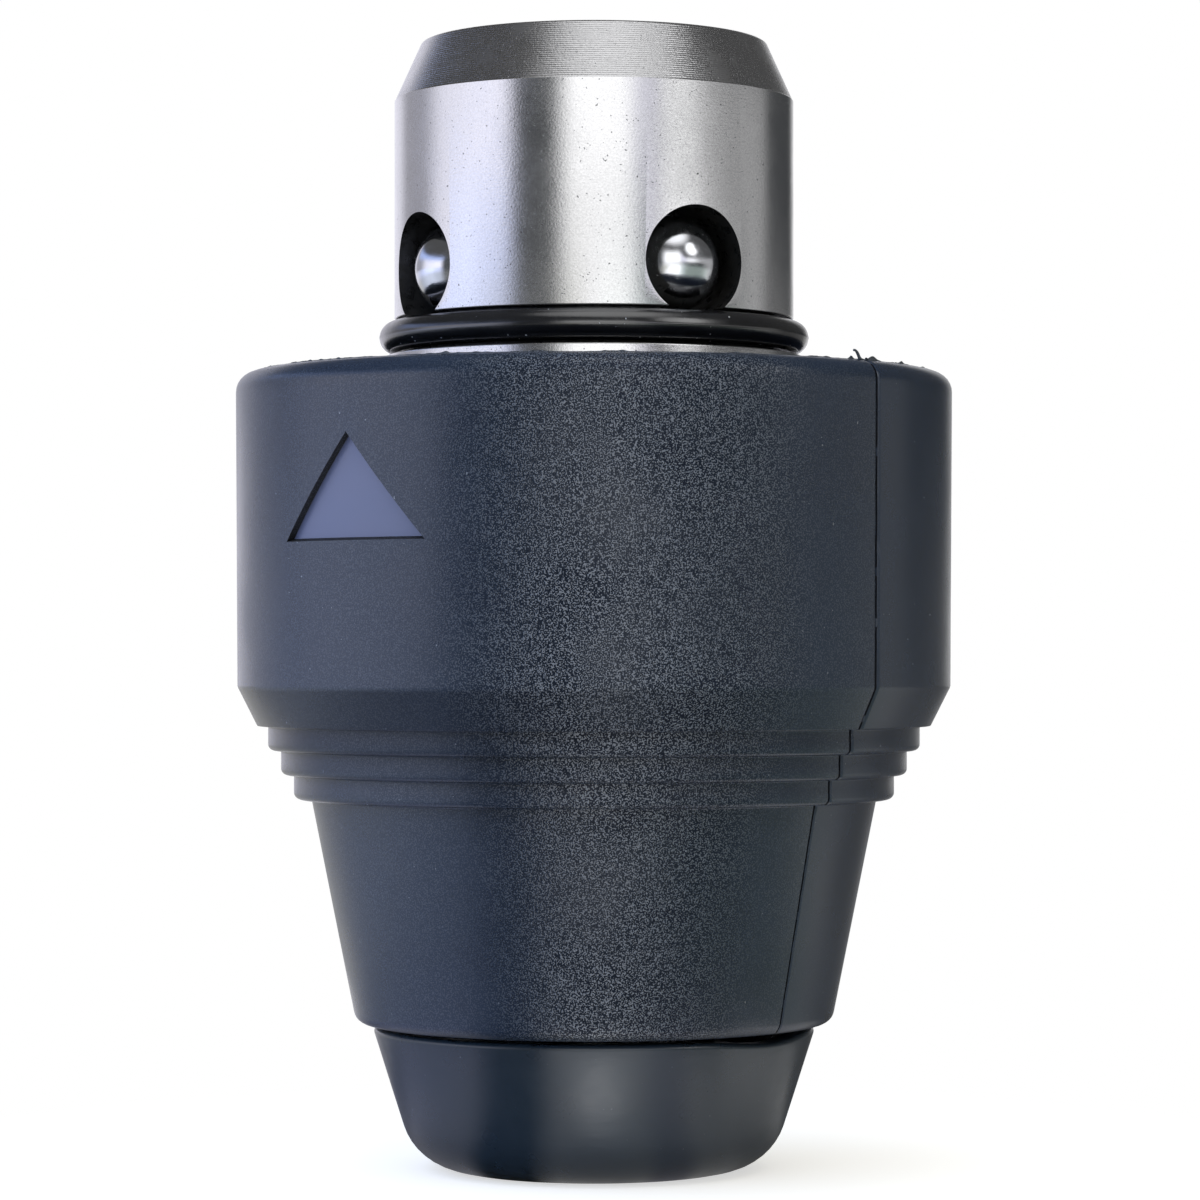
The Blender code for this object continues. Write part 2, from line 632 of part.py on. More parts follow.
def arrow_cutter(cutters):
    """A triangle that points to the machine, with drafted sides and a floor that follows the barrel."""
    point_z = RIM_Z - ARROW_DROP
    base_z = point_z - ARROW_HEIGHT
    corners = [(-ARROW_WIDTH / 2, base_z), (ARROW_WIDTH / 2, base_z), (0, point_z)]
    points = []
    for depth in (BARREL_RADIUS / 2, BARREL_RADIUS + OVERCUT):
        scale = 1 + ARROW_DRAFT * (depth - BARREL_RADIUS) / ARROW_HEIGHT
        points += [(depth, y * scale, point_z + (z - point_z) * scale) for y, z in corners]
    arrow = hull("arrow", points, math.radians(ARROW_ANGLE), cutters)
    floor_radius = BARREL_RADIUS - ARROW_DEPTH
    outline = [(0, RIM_Z), (floor_radius, RIM_Z), (floor_radius, BARREL_Z), (0, BARREL_Z)]
    core = as_cutter(turned("arrow_floor", outline, cutters, closed=False))
    apply_boolean(arrow, core, "DIFFERENCE")
    return arrow


def make_sleeve(pieces, cutters, nylon):
    outline = rounded(sleeve_outside() + sleeve_inside())
    sleeve = turned("actuating_sleeve", outline, pieces, nylon)
    apply_boolean(sleeve, pocket_cutter(cutters), "DIFFERENCE")
    apply_boolean(sleeve, arrow_cutter(cutters), "DIFFERENCE")
    return sleeve


# ---------------------------------------------------------------- assembly

def slide_empty(name, children, collection, parent=None):
    """An empty that carries the pieces of one sliding body."""
    empty = bpy.data.objects.new(name, None)
    collection.objects.link(empty)
    empty.parent = parent
    for child in children:
        child.parent = empty
    return empty


def main():
    clear_scene()
    pieces = new_collection("drill_chuck")
    cutters = new_collection("cutters")
    ground_steel = make_material("ground_steel", (0.62, 0.61, 0.62), 0.28, 1.0)
    ball_steel = make_material("ball_steel", (0.75, 0.76, 0.80), 0.08, 1.0)
    hardened_steel = make_material("hardened_steel", (0.30, 0.30, 0.31), 0.35, 1.0)
    spring_steel = make_material("spring_steel", (0.45, 0.44, 0.42), 0.30, 1.0)
    rubber = make_material("rubber", (0.022, 0.025, 0.030), 0.42, 0.0)
    nylon = make_material("nylon", (0.045, 0.055, 0.075), 0.55, 0.0)

    make_holder(pieces, cutters, ground_steel)
    make_o_ring(pieces, rubber)
    make_machine_balls(pieces, ball_steel)
    make_dust_cap(pieces, rubber)
    make_snap_ring(pieces, spring_steel)
    make_washers(pieces, hardened_steel)
    make_tool_balls(pieces, ball_steel)
    make_spring(pieces, spring_steel)
    sleeve = make_sleeve(pieces, cutters, nylon)
    locking_ring = make_locking_ring(pieces, hardened_steel)
    plate = make_plate(pieces, hardened_steel)
    sleeve_slide = slide_empty("sleeve_slide", [sleeve, locking_ring], pieces)
    slide_empty("plate_slide", [plate], pieces, sleeve_slide)


main()
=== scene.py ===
# %% [markdown]
# # Finishing a quick-change chuck of a rotary hammer
# The solid model of this chuck already exists: sixteen separate pieces at their real size, with the
# sleeve, the balls and the spring plate on sliding joints. It was made to work, with few facets.
# This lesson gives it its looks. Each piece that shows is made again with a fine surface, exactly
# where the solid one lies, and each gets a finish built from shader nodes.

import json
import math
import random

import bmesh
import bpy
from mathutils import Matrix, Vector, noise

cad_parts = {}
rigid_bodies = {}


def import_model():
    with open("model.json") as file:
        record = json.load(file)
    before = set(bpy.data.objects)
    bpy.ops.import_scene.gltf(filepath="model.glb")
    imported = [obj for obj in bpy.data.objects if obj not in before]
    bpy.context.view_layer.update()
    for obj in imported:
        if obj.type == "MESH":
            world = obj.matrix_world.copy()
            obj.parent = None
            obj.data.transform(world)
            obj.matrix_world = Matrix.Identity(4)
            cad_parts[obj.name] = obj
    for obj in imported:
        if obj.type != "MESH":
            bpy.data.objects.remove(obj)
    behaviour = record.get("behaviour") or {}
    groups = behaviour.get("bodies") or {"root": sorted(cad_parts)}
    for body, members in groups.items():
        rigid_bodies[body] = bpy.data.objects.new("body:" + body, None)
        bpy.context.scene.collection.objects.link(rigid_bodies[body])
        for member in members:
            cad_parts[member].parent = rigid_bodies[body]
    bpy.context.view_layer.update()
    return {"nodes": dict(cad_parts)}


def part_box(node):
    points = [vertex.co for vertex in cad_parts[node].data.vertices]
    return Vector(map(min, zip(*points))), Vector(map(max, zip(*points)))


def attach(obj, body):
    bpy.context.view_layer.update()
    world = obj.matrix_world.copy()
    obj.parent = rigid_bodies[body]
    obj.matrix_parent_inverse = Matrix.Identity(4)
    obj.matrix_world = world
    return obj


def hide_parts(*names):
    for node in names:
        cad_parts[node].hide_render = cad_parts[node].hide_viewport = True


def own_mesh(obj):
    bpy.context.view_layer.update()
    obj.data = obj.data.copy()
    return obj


for leftover in list(bpy.data.objects):
    bpy.data.objects.remove(leftover, do_unlink=True)
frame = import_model()

# %% [markdown]
# ## Measures that the whole lesson uses
# The sizes come from the boxes round the solid pieces, so that a changed solid moves its finished
# skin too. What a box can't tell, such as a wall or a fillet, is a named length here. Lengths are in
# metres, and MM keeps them readable.

# %% Read the sizes of the solid pieces
MM = 0.001
SEAT_GAP = 0.3 * MM
SLEEVE_TRAVEL = 6.0 * MM
LAND_STEP = 0.6 * MM
CONE_LENGTH = 16.5 * MM
STEP_COUNT = 3
STEP_HEIGHT = 1.8 * MM
BEVEL_HEIGHT = 2.9 * MM

sleeve_low, sleeve_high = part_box("actuating_sleeve")
holder_low, holder_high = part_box("holder_body")
seal_low, seal_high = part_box("retaining_o_ring")
spring_low, spring_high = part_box("compression_spring")
snap_low, snap_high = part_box("snap_ring")
cap_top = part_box("dust_cap")[1].z
shoulder_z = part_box("spring_seat_washer")[1].z + SEAT_GAP
steps_z = sleeve_low.z + CONE_LENGTH
bevel_z = steps_z + STEP_COUNT * STEP_HEIGHT
barrel_z = bevel_z + BEVEL_HEIGHT
land_radius = round(holder_high.x, 4)
spigot_radius = land_radius - LAND_STEP
print("barrel radius in mm:", round(sleeve_high.x / MM, 2), "spigot:", round(spigot_radius / MM, 2))

# %% [markdown]
# ## The camera
# A product picture of a round object wants a long lens a little below the middle of the object, so
# that upright edges stay upright and the rings show as flat ellipses. A camera looks along its own
# -Z axis, and to_track_quat turns that axis towards the point it aims at.

# %% Set the camera
CAMERA_DISTANCE = 313.1 * MM
CAMERA_HEIGHT = 38.4 * MM
CAMERA_LENS = 126.57
SENSOR_WIDTH = 36.0
CLIP_START = 10 * MM
AIM = Vector((0.445 * MM, 0, 42.0 * MM))

scene = bpy.context.scene
scene.view_settings.view_transform = "Standard"


def new_object(name, data):
    obj = bpy.data.objects.new(name, data)
    scene.collection.objects.link(obj)
    return obj


camera = new_object("camera", bpy.data.cameras.new("camera"))
camera.data.lens = CAMERA_LENS
camera.data.sensor_width = SENSOR_WIDTH
camera.data.clip_start = CLIP_START
camera.location = (0, -CAMERA_DISTANCE, CAMERA_HEIGHT)
camera.rotation_euler = (AIM - camera.location).to_track_quat("-Z", "Y").to_euler()
scene.camera = camera
print("the camera stands in mm:", [round(value / MM, 1) for value in camera.location])

# %% [markdown]
# ## A short way to write shader nodes
# Every finish below is a small tree of nodes. Written out with nodes.new and links.new each tree
# would fill a page, so this helper adds one node a line: an input may be a number, a colour or
# another node's output.

# %% Node helper
class Tree:
    """Adds nodes to the tree of a material or world."""

    def __init__(self, owner):
        owner.use_nodes = True
        self.tree = owner.node_tree

    def node(self, kind, inputs=None, **settings):
        made = self.tree.nodes.new("ShaderNode" + kind)
        for name, value in settings.items():
            setattr(made, name, value)
        for name, value in (inputs or {}).items():
            if isinstance(value, bpy.types.NodeSocket):
                self.tree.links.new(value, made.inputs[name])
            else:
                made.inputs[name].default_value = value
        return made

    def math(self, operation, *values):
        return self.node("Math", dict(enumerate(values)), operation=operation).outputs[0]

    def times(self, product, *factors):
        for factor in factors:
            product = self.math("MULTIPLY", product, factor)
        return product

    def vector(self, operation, *values):
        """Vector maths, whose answer is a vector, or a number for three of the operations."""
        made = self.node("VectorMath", dict(enumerate(values)), operation=operation)
        gives_number = operation in ("DOT_PRODUCT", "LENGTH", "DISTANCE")
        return made.outputs["Value" if gives_number else "Vector"]

    def scaled(self, colour, amount):
        return self.node("VectorMath", {0: colour, "Scale": amount}, operation="SCALE").outputs[0]

    def split(self, vector):
        return self.node("SeparateXYZ", {"Vector": vector}).outputs

    def stretched(self, vector, scale):
        return self.node("Mapping", {"Vector": vector, "Scale": scale}).outputs[0]

    def noise(self, vector, size, detail=2.0, roughness=0.5):
        """Cloudy noise from 0 to 1, whose blobs measure about size metres."""
        return self.node("TexNoise", {
            "Vector": vector, "Scale": 1 / size, "Detail": detail, "Roughness": roughness}).outputs[0]

    def fade(self, value, start, end, low=0.0, high=1.0):
        """Goes smoothly from low to high while value goes from start to end."""
        return self.node("MapRange", {
            "Value": value, "From Min": start, "From Max": end, "To Min": low, "To Max": high,
        }, interpolation_type="SMOOTHSTEP").outputs[0]

    def mix(self, factor, first, second):
        return self.node("Mix", {0: factor, 6: first, 7: second}, data_type="RGBA").outputs[2]

    def ramp(self, factor, stops):
        """A colour ramp through (position, colour) stops."""
        made = self.node("ValToRGB", {"Fac": factor})
        elements = made.color_ramp.elements
        elements[0].position, elements[0].color = stops[0][0], (*stops[0][1], 1)
        elements[1].position, elements[1].color = stops[-1][0], (*stops[-1][1], 1)
        for position, colour in stops[1:-1]:
            elements.new(position).color = (*colour, 1)
        return made.outputs[0]

    def bump(self, height, distance):
        return self.node("Bump", {"Height": height, "Distance": distance, "Strength": 1.0}).outputs[0]


print("nodes can be added by name, such as", "ShaderNode" + "TexNoise")

# %% [markdown]
# ## The studio
# Bare metal shows nothing but what stands round it, so the studio decides how the steel looks. Real
# photographers put white screens and grey and black cards round the object. Here they stand in two
# belts round the horizon. Each stop is a bearing in degrees, 0 towards the camera and positive to
# its right, with a brightness and a tint. The steel sits high on the chuck and mirrors the upper
# belt. The nylon sits lower and mirrors the lower belt, which is cool daylight on the left and a
# dark card on the right.

# %% Screens and cards round the horizon
DAYLIGHT = (0.96, 0.95, 1.06)
NEUTRAL = (1.0, 1.0, 1.0)
CARD = (0.95, 1.0, 1.05)
BLUE = (0.84, 0.92, 1.26)
BRIGHTEST = 2.0
UPPER_BELT = [
    (-180, 1.10, DAYLIGHT), (-149, 1.00, DAYLIGHT), (-136, 0.45, DAYLIGHT), (-114, 0.46, DAYLIGHT),
    (-98, 1.20, DAYLIGHT), (-64, 1.50, DAYLIGHT), (-53, 1.50, DAYLIGHT), (-43, 0.10, CARD),
    (-24, 0.10, CARD), (-13, 1.75, NEUTRAL), (18, 1.75, NEUTRAL), (25, 1.12, DAYLIGHT),
    (34, 1.16, DAYLIGHT), (42, 1.78, NEUTRAL), (56, 1.52, NEUTRAL), (68, 0.85, NEUTRAL),
    (84, 0.56, NEUTRAL), (113, 0.45, NEUTRAL), (120, 0.08, CARD), (155, 0.06, CARD),
    (165, 0.90, NEUTRAL), (180, 1.10, DAYLIGHT),
]
LOWER_BELT = [
    (-180, 1.10, DAYLIGHT), (-149, 1.10, DAYLIGHT), (-136, 0.95, DAYLIGHT), (-114, 0.95, BLUE),
    (-98, 1.38, BLUE), (-76, 1.55, BLUE), (-64, 1.25, BLUE), (-53, 1.10, BLUE), (-43, 0.12, CARD),
    (-24, 0.12, CARD), (-13, 1.34, NEUTRAL), (18, 1.30, NEUTRAL), (28, 0.42, CARD),
    (38, 0.08, CARD), (56, 0.05, CARD), (76, 0.07, CARD), (90, 0.30, NEUTRAL),
    (105, 0.50, NEUTRAL), (120, 0.20, NEUTRAL), (150, 0.20, NEUTRAL), (165, 0.90, NEUTRAL),
    (180, 1.10, DAYLIGHT),
]


def belt_colour(tree, belt, across, away):
    """A belt's colour in the direction given by two lengths, right of and away from the camera."""
    bearing = tree.math("ARCTAN2", across, tree.times(away, -1.0))
    turn = tree.math("MULTIPLY_ADD", bearing, 0.5 / math.pi, 0.5)
    stops = [
        ((degrees + 180) / 360, [part * level / BRIGHTEST for part in tint])
        for degrees, level, tint in belt
    ]
    return tree.scaled(tree.ramp(turn, stops), BRIGHTEST)


print("stops of the upper and the lower belt:", len(UPPER_BELT), len(LOWER_BELT))

# %% [markdown]
# The world tells the kinds of ray apart with a Light Path node. The camera sees plain white. Glossy
# rays see the two belts, and the dark ceiling above them with a strip of blue sky on the left. Two
# soft patches hang in the ceiling: the image of the big lamp, and a small bright one on the right
# that draws the streak on the rubber ring. All other rays get an even light, cooler from the left
# and plain from behind, so that every colour renders about as it is written. Sampling the world as
# a lamp would ignore the kinds of ray, so it is turned off.

# %% The world
CEILING = (math.sin(math.radians(18)), math.sin(math.radians(34)))
CEILING_COLOUR = (0.10, 0.10, 0.10, 1)
BELTS_MEET = (0.010, 0.040)
RIGHT_SCREENS = (0.25, 0.60, 1.0, 0.38)
LEFT_SCREENS = (-0.75, -0.55, 0.60, 1.0)
SKY = (0.60, 0.75, 1.25, 1)
SKY_SIDE = (-0.50, -0.75)
SKY_TOP = (0.45, 0.32)
EVEN_LEFT = (1.30, 1.72, 2.55, 1)
EVEN_RIGHT = (0.34, 0.33, 0.20, 1)
EVEN_BACK = (0.95, 1.02, 1.12, 1)
SIDE_FADE = (-0.85, 0.25)
BACK_FADE = (0.20, 0.85)
LAMP_DIRECTION = Vector((0.09, -0.36, 0.90)).normalized()
LAMP_BRIGHTNESS = 1.5
SPOT_DIRECTION = Vector((0.70, -0.52, 0.49)).normalized()
SPOT_BRIGHTNESS = 2.4
PATCHES = [(LAMP_DIRECTION, 33, 11, LAMP_BRIGHTNESS), (SPOT_DIRECTION, 17, 7, SPOT_BRIGHTNESS)]
WHITE = (1, 1, 1, 1)

world = bpy.data.worlds.new("studio")
scene.world = world
world.cycles.sampling_method = "NONE"
tree = Tree(world)
background = tree.tree.nodes["Background"]
direction = tree.node("TexCoord").outputs["Generated"]
across, away, up = tree.split(direction)
upper = belt_colour(tree, UPPER_BELT, across, away)
lower = belt_colour(tree, LOWER_BELT, across, away)
screens = tree.mix(tree.fade(up, *BELTS_MEET), lower, upper)
screen_height = tree.times(tree.fade(across, *RIGHT_SCREENS), tree.fade(across, *LEFT_SCREENS))
ceiling = tree.fade(tree.math("DIVIDE", up, screen_height), *CEILING)
sky = tree.times(tree.fade(across, *SKY_SIDE), tree.fade(up, *SKY_TOP))
mirrored_studio = tree.mix(ceiling, screens, tree.mix(sky, CEILING_COLOUR, SKY))
for centre, rim_degrees, core_degrees, level in PATCHES:
    patch = tree.fade(tree.vector("DOT_PRODUCT", direction, centre),
                      math.cos(math.radians(rim_degrees)), math.cos(math.radians(core_degrees)))
    mirrored_studio = tree.mix(patch, mirrored_studio, (level, level, level, 1))
even = tree.mix(tree.fade(across, *SIDE_FADE), EVEN_LEFT, EVEN_RIGHT)
even = tree.mix(tree.fade(away, *BACK_FADE), even, EVEN_BACK)
ray = tree.node("LightPath").outputs
mirrored = tree.math("MAXIMUM", ray["Is Glossy Ray"], ray["Is Transmission Ray"])
colour = tree.mix(mirrored, even, mirrored_studio)
colour = tree.mix(ray["Is Camera Ray"], colour, WHITE)
tree.tree.links.new(colour, background.inputs["Color"])
print("world nodes:", len(tree.tree.nodes))

# %% [markdown]
# One wide soft lamp hangs above, in front and a little to the right. It lights the chuck and makes
# the soft shadow on the floor. Its mirror image on the turned bevel and on the balls is the soft
# round patch of the world above, because a real lamp shines through cloth and has no hard edge, so
# the lamp itself is hidden from glossy rays. A lamp's brightness is its power over pi times its
# area, so the power is worked out from the brightness that is wanted.

# %% The soft lamp
LAMP_DISTANCE = 0.6
LAMP_SIZE = 0.62

lamp = new_object("soft_lamp", bpy.data.lights.new("soft_lamp", "AREA"))
lamp.data.shape = "DISK"
lamp.data.size = LAMP_SIZE
lamp.data.energy = LAMP_BRIGHTNESS * math.pi * math.pi * (LAMP_SIZE / 2) ** 2
lamp.location = AIM + LAMP_DIRECTION * LAMP_DISTANCE
lamp.rotation_euler = LAMP_DIRECTION.to_track_quat("Z", "Y").to_euler()
lamp.visible_camera = False
lamp.visible_glossy = False
print("lamp power in watts:", round(lamp.data.energy, 2))

# %% [markdown]
# The floor is a pale disc. Near the chuck it is shaded and keeps the shadow; further out it fades
# to the white of the backdrop, so that no horizon shows. Glossy rays see the cards go on over it.
# Close by, where only the cap looks, it is the upper belt, dark where the shadow lies, with a small
# bright spot in front that gives the cap its soft glow. Further out it is the lower belt, dimmed on
# the left and at the back on the right, lifted in front on the right, and veiled by a little haze.

# %% Image of the studio on the floor
NEAR_SHADE = (12 * MM, 27 * MM, 0.22, 0.80)
NEAR_SIDE = (8 * MM, 30 * MM)
NEAR_RIGHT = (-0.9, -0.25, 0.32, 1.7)
NEAR_TINTED = (-30 * MM, -6 * MM)
NEAR_LEFT = (0.50, 0.53, 0.66, 1)
NEAR_TO_MIDDLE = (36 * MM, 46 * MM)
MIDDLE_LEVEL = (50 * MM, 85 * MM, 0.55, 1.35)
MIDDLE_TINTED = (-60 * MM, -20 * MM)
MIDDLE_LEFT = (0.50, 0.50, 0.44, 1)
HAZE = (0.9, 0.9, 0.9, 1)
HAZE_SHARE = 0.15
BEHIND_FADE = (0.12, 0.75)
BEHIND_SIDE = (5 * MM, 25 * MM)
BEHIND_LEVEL = 0.42
FRONT_FADE = (-0.35, 0.0)
FRONT_SIDE = (10 * MM, 35 * MM)
FRONT_LIFT = (0.15, 0.21, 0.17)
MIDDLE_TO_FAR = (300 * MM, 900 * MM)
GLOW_PLACE = (1 * MM, -24 * MM, 0)
GLOW_EDGE = (6.5 * MM, 1 * MM)
GLOW = (3.2, 3.2, 3.2, 1)


def tinted(tree, belt, across, side, left):
    """A belt's colour with a tint on the left."""
    return tree.vector("MULTIPLY", belt, tree.mix(tree.fade(across, *side), left, WHITE))


def floor_near(tree, belt, radius, across, away):
    """The upper belt, shaded where the shadow lies and on the right in front."""
    right = tree.fade(tree.math("DIVIDE", away, across), *NEAR_RIGHT)
    shade = tree.times(tree.fade(radius, *NEAR_SHADE), tree.fade(across, *NEAR_SIDE, 1.0, right))
    return tree.scaled(tinted(tree, belt, across, NEAR_TINTED, NEAR_LEFT), shade)


def floor_middle(tree, belt, radius, across, away):
    """The lower belt in a haze, dimmed behind and lifted in front on the right."""
    middle = tinted(tree, belt, across, MIDDLE_TINTED, MIDDLE_LEFT)
    middle = tree.mix(HAZE_SHARE, tree.scaled(middle, tree.fade(radius, *MIDDLE_LEVEL)), HAZE)
    behind = tree.fade(tree.math("DIVIDE", away, radius), *BEHIND_FADE)
    behind = tree.times(behind, tree.fade(across, *BEHIND_SIDE))
    middle = tree.scaled(middle, tree.math("MULTIPLY_ADD", behind, BEHIND_LEVEL - 1, 1.0))
    front = tree.fade(tree.math("DIVIDE", tree.times(away, -1.0), radius), *FRONT_FADE)
    front = tree.times(front, tree.fade(across, *FRONT_SIDE))
    return tree.vector("ADD", middle, tree.scaled(FRONT_LIFT, front))


def floor_image(tree, place, radius):
    """The three rings of the floor as glossy rays see them, and the bright spot in front."""
    across, away, up = tree.split(place)
    upper = belt_colour(tree, UPPER_BELT, across, away)
    lower = belt_colour(tree, LOWER_BELT, across, away)
    near = floor_near(tree, upper, radius, across, away)
    middle = floor_middle(tree, lower, radius, across, away)
    image = tree.mix(tree.fade(radius, *MIDDLE_TO_FAR), middle, lower)
    image = tree.mix(tree.fade(radius, *NEAR_TO_MIDDLE), near, image)
    return tree.mix(tree.fade(tree.vector("DISTANCE", place, GLOW_PLACE), *GLOW_EDGE), image, GLOW)


print("the floor's image changes at mm:", [round(end / MM) for end in NEAR_TO_MIDDLE + MIDDLE_TO_FAR])

# %% [markdown]
# The floor itself is a disc of one face. Its material puts that image, a plain shaded paper and the
# white of the backdrop together, each for the rays that should see it. A diffuse shader keeps the
# shadow, and a little emission lifts it to the paleness of a lit table.

# %% The floor
FLOOR_RADIUS = 1.5
FLOOR_SEGMENTS = 96
FLOOR_COLOUR = (0.66, 0.62, 0.57, 1)
FLOOR_LIFT = 0.60
PAPER_TO_WHITE = (22 * MM, 60 * MM)


def floor_material():
    material = bpy.data.materials.new("floor")
    tree = Tree(material)
    nodes = tree.tree.nodes
    nodes.remove(nodes["Principled BSDF"])
    place = tree.node("TexCoord").outputs["Object"]
    radius = tree.vector("LENGTH", place)
    ray = tree.node("LightPath").outputs
    paper = tree.node("BsdfDiffuse", {"Color": FLOOR_COLOUR}).outputs[0]
    lift = tree.node("Emission", {"Strength": tree.times(ray["Is Camera Ray"], FLOOR_LIFT)})
    paper = tree.node("AddShader", {0: paper, 1: lift.outputs[0]}).outputs[0]
    white = tree.node("Emission", {"Strength": 1.0}).outputs[0]
    faded = tree.times(tree.fade(radius, *PAPER_TO_WHITE), ray["Is Camera Ray"])
    paper = tree.node("MixShader", {0: faded, 1: paper, 2: white}).outputs[0]
    image = tree.node("Emission", {"Color": floor_image(tree, place, radius)}).outputs[0]
    mirrored = tree.math("MAXIMUM", ray["Is Glossy Ray"], ray["Is Transmission Ray"])
    whole = tree.node("MixShader", {0: mirrored, 1: paper, 2: image}).outputs[0]
    tree.tree.links.new(whole, nodes["Material Output"].inputs["Surface"])
    return material


def new_piece(name, mesh, *materials):
    for material in materials:
        mesh.materials.append(material)
    return new_object(name, mesh)


def piece_of(shape, name, *materials):
    """Writes a finished bmesh into a piece of its own."""
    mesh = bpy.data.meshes.new(name)
    shape.to_mesh(mesh)
    shape.free()
    return new_piece(name, mesh, *materials)


shape = bmesh.new()
bmesh.ops.create_circle(shape, cap_ends=True, segments=FLOOR_SEGMENTS, radius=FLOOR_RADIUS)
floor = piece_of(shape, "floor", floor_material())
print("floor radius in m:", FLOOR_RADIUS)

# %% [markdown]
# ## Finishes
# Each finish starts from a Principled shader. Its base colour, roughness and normal are driven by
# nodes that use the Object coordinate, which is in metres and moves with the piece. What stays the
# same all over, such as the index of refraction, is set on the shader itself.

# %% Start of every finish
def principled(name, metallic=0.0, ior=1.5, colour=(0.5, 0.5, 0.5), roughness=0.5):
    material = bpy.data.materials.new(name)
    tree = Tree(material)
    shader = tree.tree.nodes["Principled BSDF"]
    shader.inputs["Metallic"].default_value = metallic
    shader.inputs["IOR"].default_value = ior
    shader.inputs["Base Color"].default_value = (*colour, 1)
    shader.inputs["Roughness"].default_value = roughness
    place = tree.node("TexCoord").outputs["Object"]
    return material, tree, shader, place


def drive(tree, shader, **sockets):
    """Links node outputs to the shader's sockets of these names."""
    for name, output in sockets.items():
        tree.tree.links.new(output, shader.inputs[name.replace("_", " ")])


print("a finish is a material, its node tree, its shader and its coordinate")

# %% [markdown]
# ### Spark-eroded nylon
# The sleeve is moulded in glass-filled nylon, in a mould whose steel was textured by spark erosion.
# That leaves an even grain of small bumps, which sparkles where the light is strong. One half of
# the mould was left smoother than the other, and the change lies exactly on the parting line. The
# grain is coarse only in front and at the back, so its painted sparkle is strongest in front, towards
# the bright light, and the bevel and the steps get painted shade, most of all on the left.
# The grain is far too fine to model: a noise gives its bump, the hollows get painted shade, and the
# tops get a painted sparkle of paler colour and shine more. A few pale specks of glass fibre and
# dust lie on it.

# %% Grain, painted sparkle and painted shade of the sleeve
PARTING_ANGLE = math.radians(-41.3)
PARTING_NORMAL = (-math.sin(PARTING_ANGLE), math.cos(PARTING_ANGLE), 0)
PARTING_BLUR = 0.1 * MM
# The grain, and the painted sparkle on it, is coarsest round this bearing, towards the bright light in
# front.
COARSE_AND_SPARKLE_MIDDLE = (math.sin(math.radians(5.5)), -math.cos(math.radians(5.5)), 0)
COARSE = (math.cos(math.radians(32)), math.cos(math.radians(8)))
SIDE_GRAIN = 0.22
SMOOTH_HALF = 0.35
# Painted shade on the bevel and the steps: stronger on the left, weaker on the right.
STEP_SHADE_LEFT = 0.36
STEP_SHADE_RIGHT = 0.06
STEP_SHADE_SIDES = (-20 * MM, 6 * MM)


def specked(tree, place, colour, size, rarity, share, speck):
    """A colour strewn with specks; the higher the rarity, the fewer there are."""
    specks = tree.fade(tree.noise(place, size, detail=0), rarity, rarity + 0.04)
    return tree.mix(tree.times(specks, share), colour, (*speck, 1))


def grain_depth(tree, place, patches, grain):
    """How coarse the grain is, and with it its painted sparkle and painted shade: most in front and at
    the back, on the coarse half of the mould.
    """
    side = tree.vector("DOT_PRODUCT", place, PARTING_NORMAL)
    half = tree.fade(side, -PARTING_BLUR, PARTING_BLUR, 1.0, SMOOTH_HALF)
    around = tree.vector("NORMALIZE", tree.stretched(place, (1, 1, 0)))
    turned = tree.math("ABSOLUTE", tree.vector("DOT_PRODUCT", around, COARSE_AND_SPARKLE_MIDDLE))
    return tree.times(half, tree.fade(turned, *COARSE, SIDE_GRAIN, grain),
                      tree.fade(patches, 0.3, 0.7, 0.75, 1.1))


def unshaded_share(tree, place):
    """1 where no shade is painted, less on the bevel and the steps, which get painted shade."""
    across, away, up = tree.split(place)
    # Painted shade on the steps and the bevel, up to the foot of the barrel, more on the left.
    painted_step_shade = tree.times(tree.fade(up, steps_z - 0.4 * MM, bevel_z),
                      tree.fade(up, barrel_z, barrel_z - 0.3 * MM),
                      tree.fade(across, *STEP_SHADE_SIDES, STEP_SHADE_LEFT, STEP_SHADE_RIGHT))
    return tree.math("SUBTRACT", 1.0, painted_step_shade)


print("dirt lies between heights in mm:", round(steps_z / MM, 1), round(barrel_z / MM, 1))

# %% [markdown]
# The finish puts these together. Shine, roughness and bump all follow the same grain, and so does the
# colour with its painted sparkle and painted shade, so that they change together. The torn edge and the
# inside are the same nylon, with colours and a coarseness of their own, and the walls of the arrow are
# this nylon painted near black, as painted shade inside the pocket.

# %% Nylon
PATCH_SIZE = 9 * MM
GRAIN_SIZE = 0.098 * MM
GRAIN_HEIGHT = 0.035 * MM
GRAIN_TOPS = (0.47, 0.67)
# The paler colour of the grain's tops is a painted sparkle, and the darkening by depth is painted shade
# in the hollows.
PAINTED_SPARKLE_COLOUR = (0.094, 0.112, 0.145, 1)
PAINTED_SPARKLE_SHARE = 0.9
TOPS_SHINE = 0.75
HOLLOW_PAINTED_SHADE = 0.62
HOLLOW_DULL = 0.40


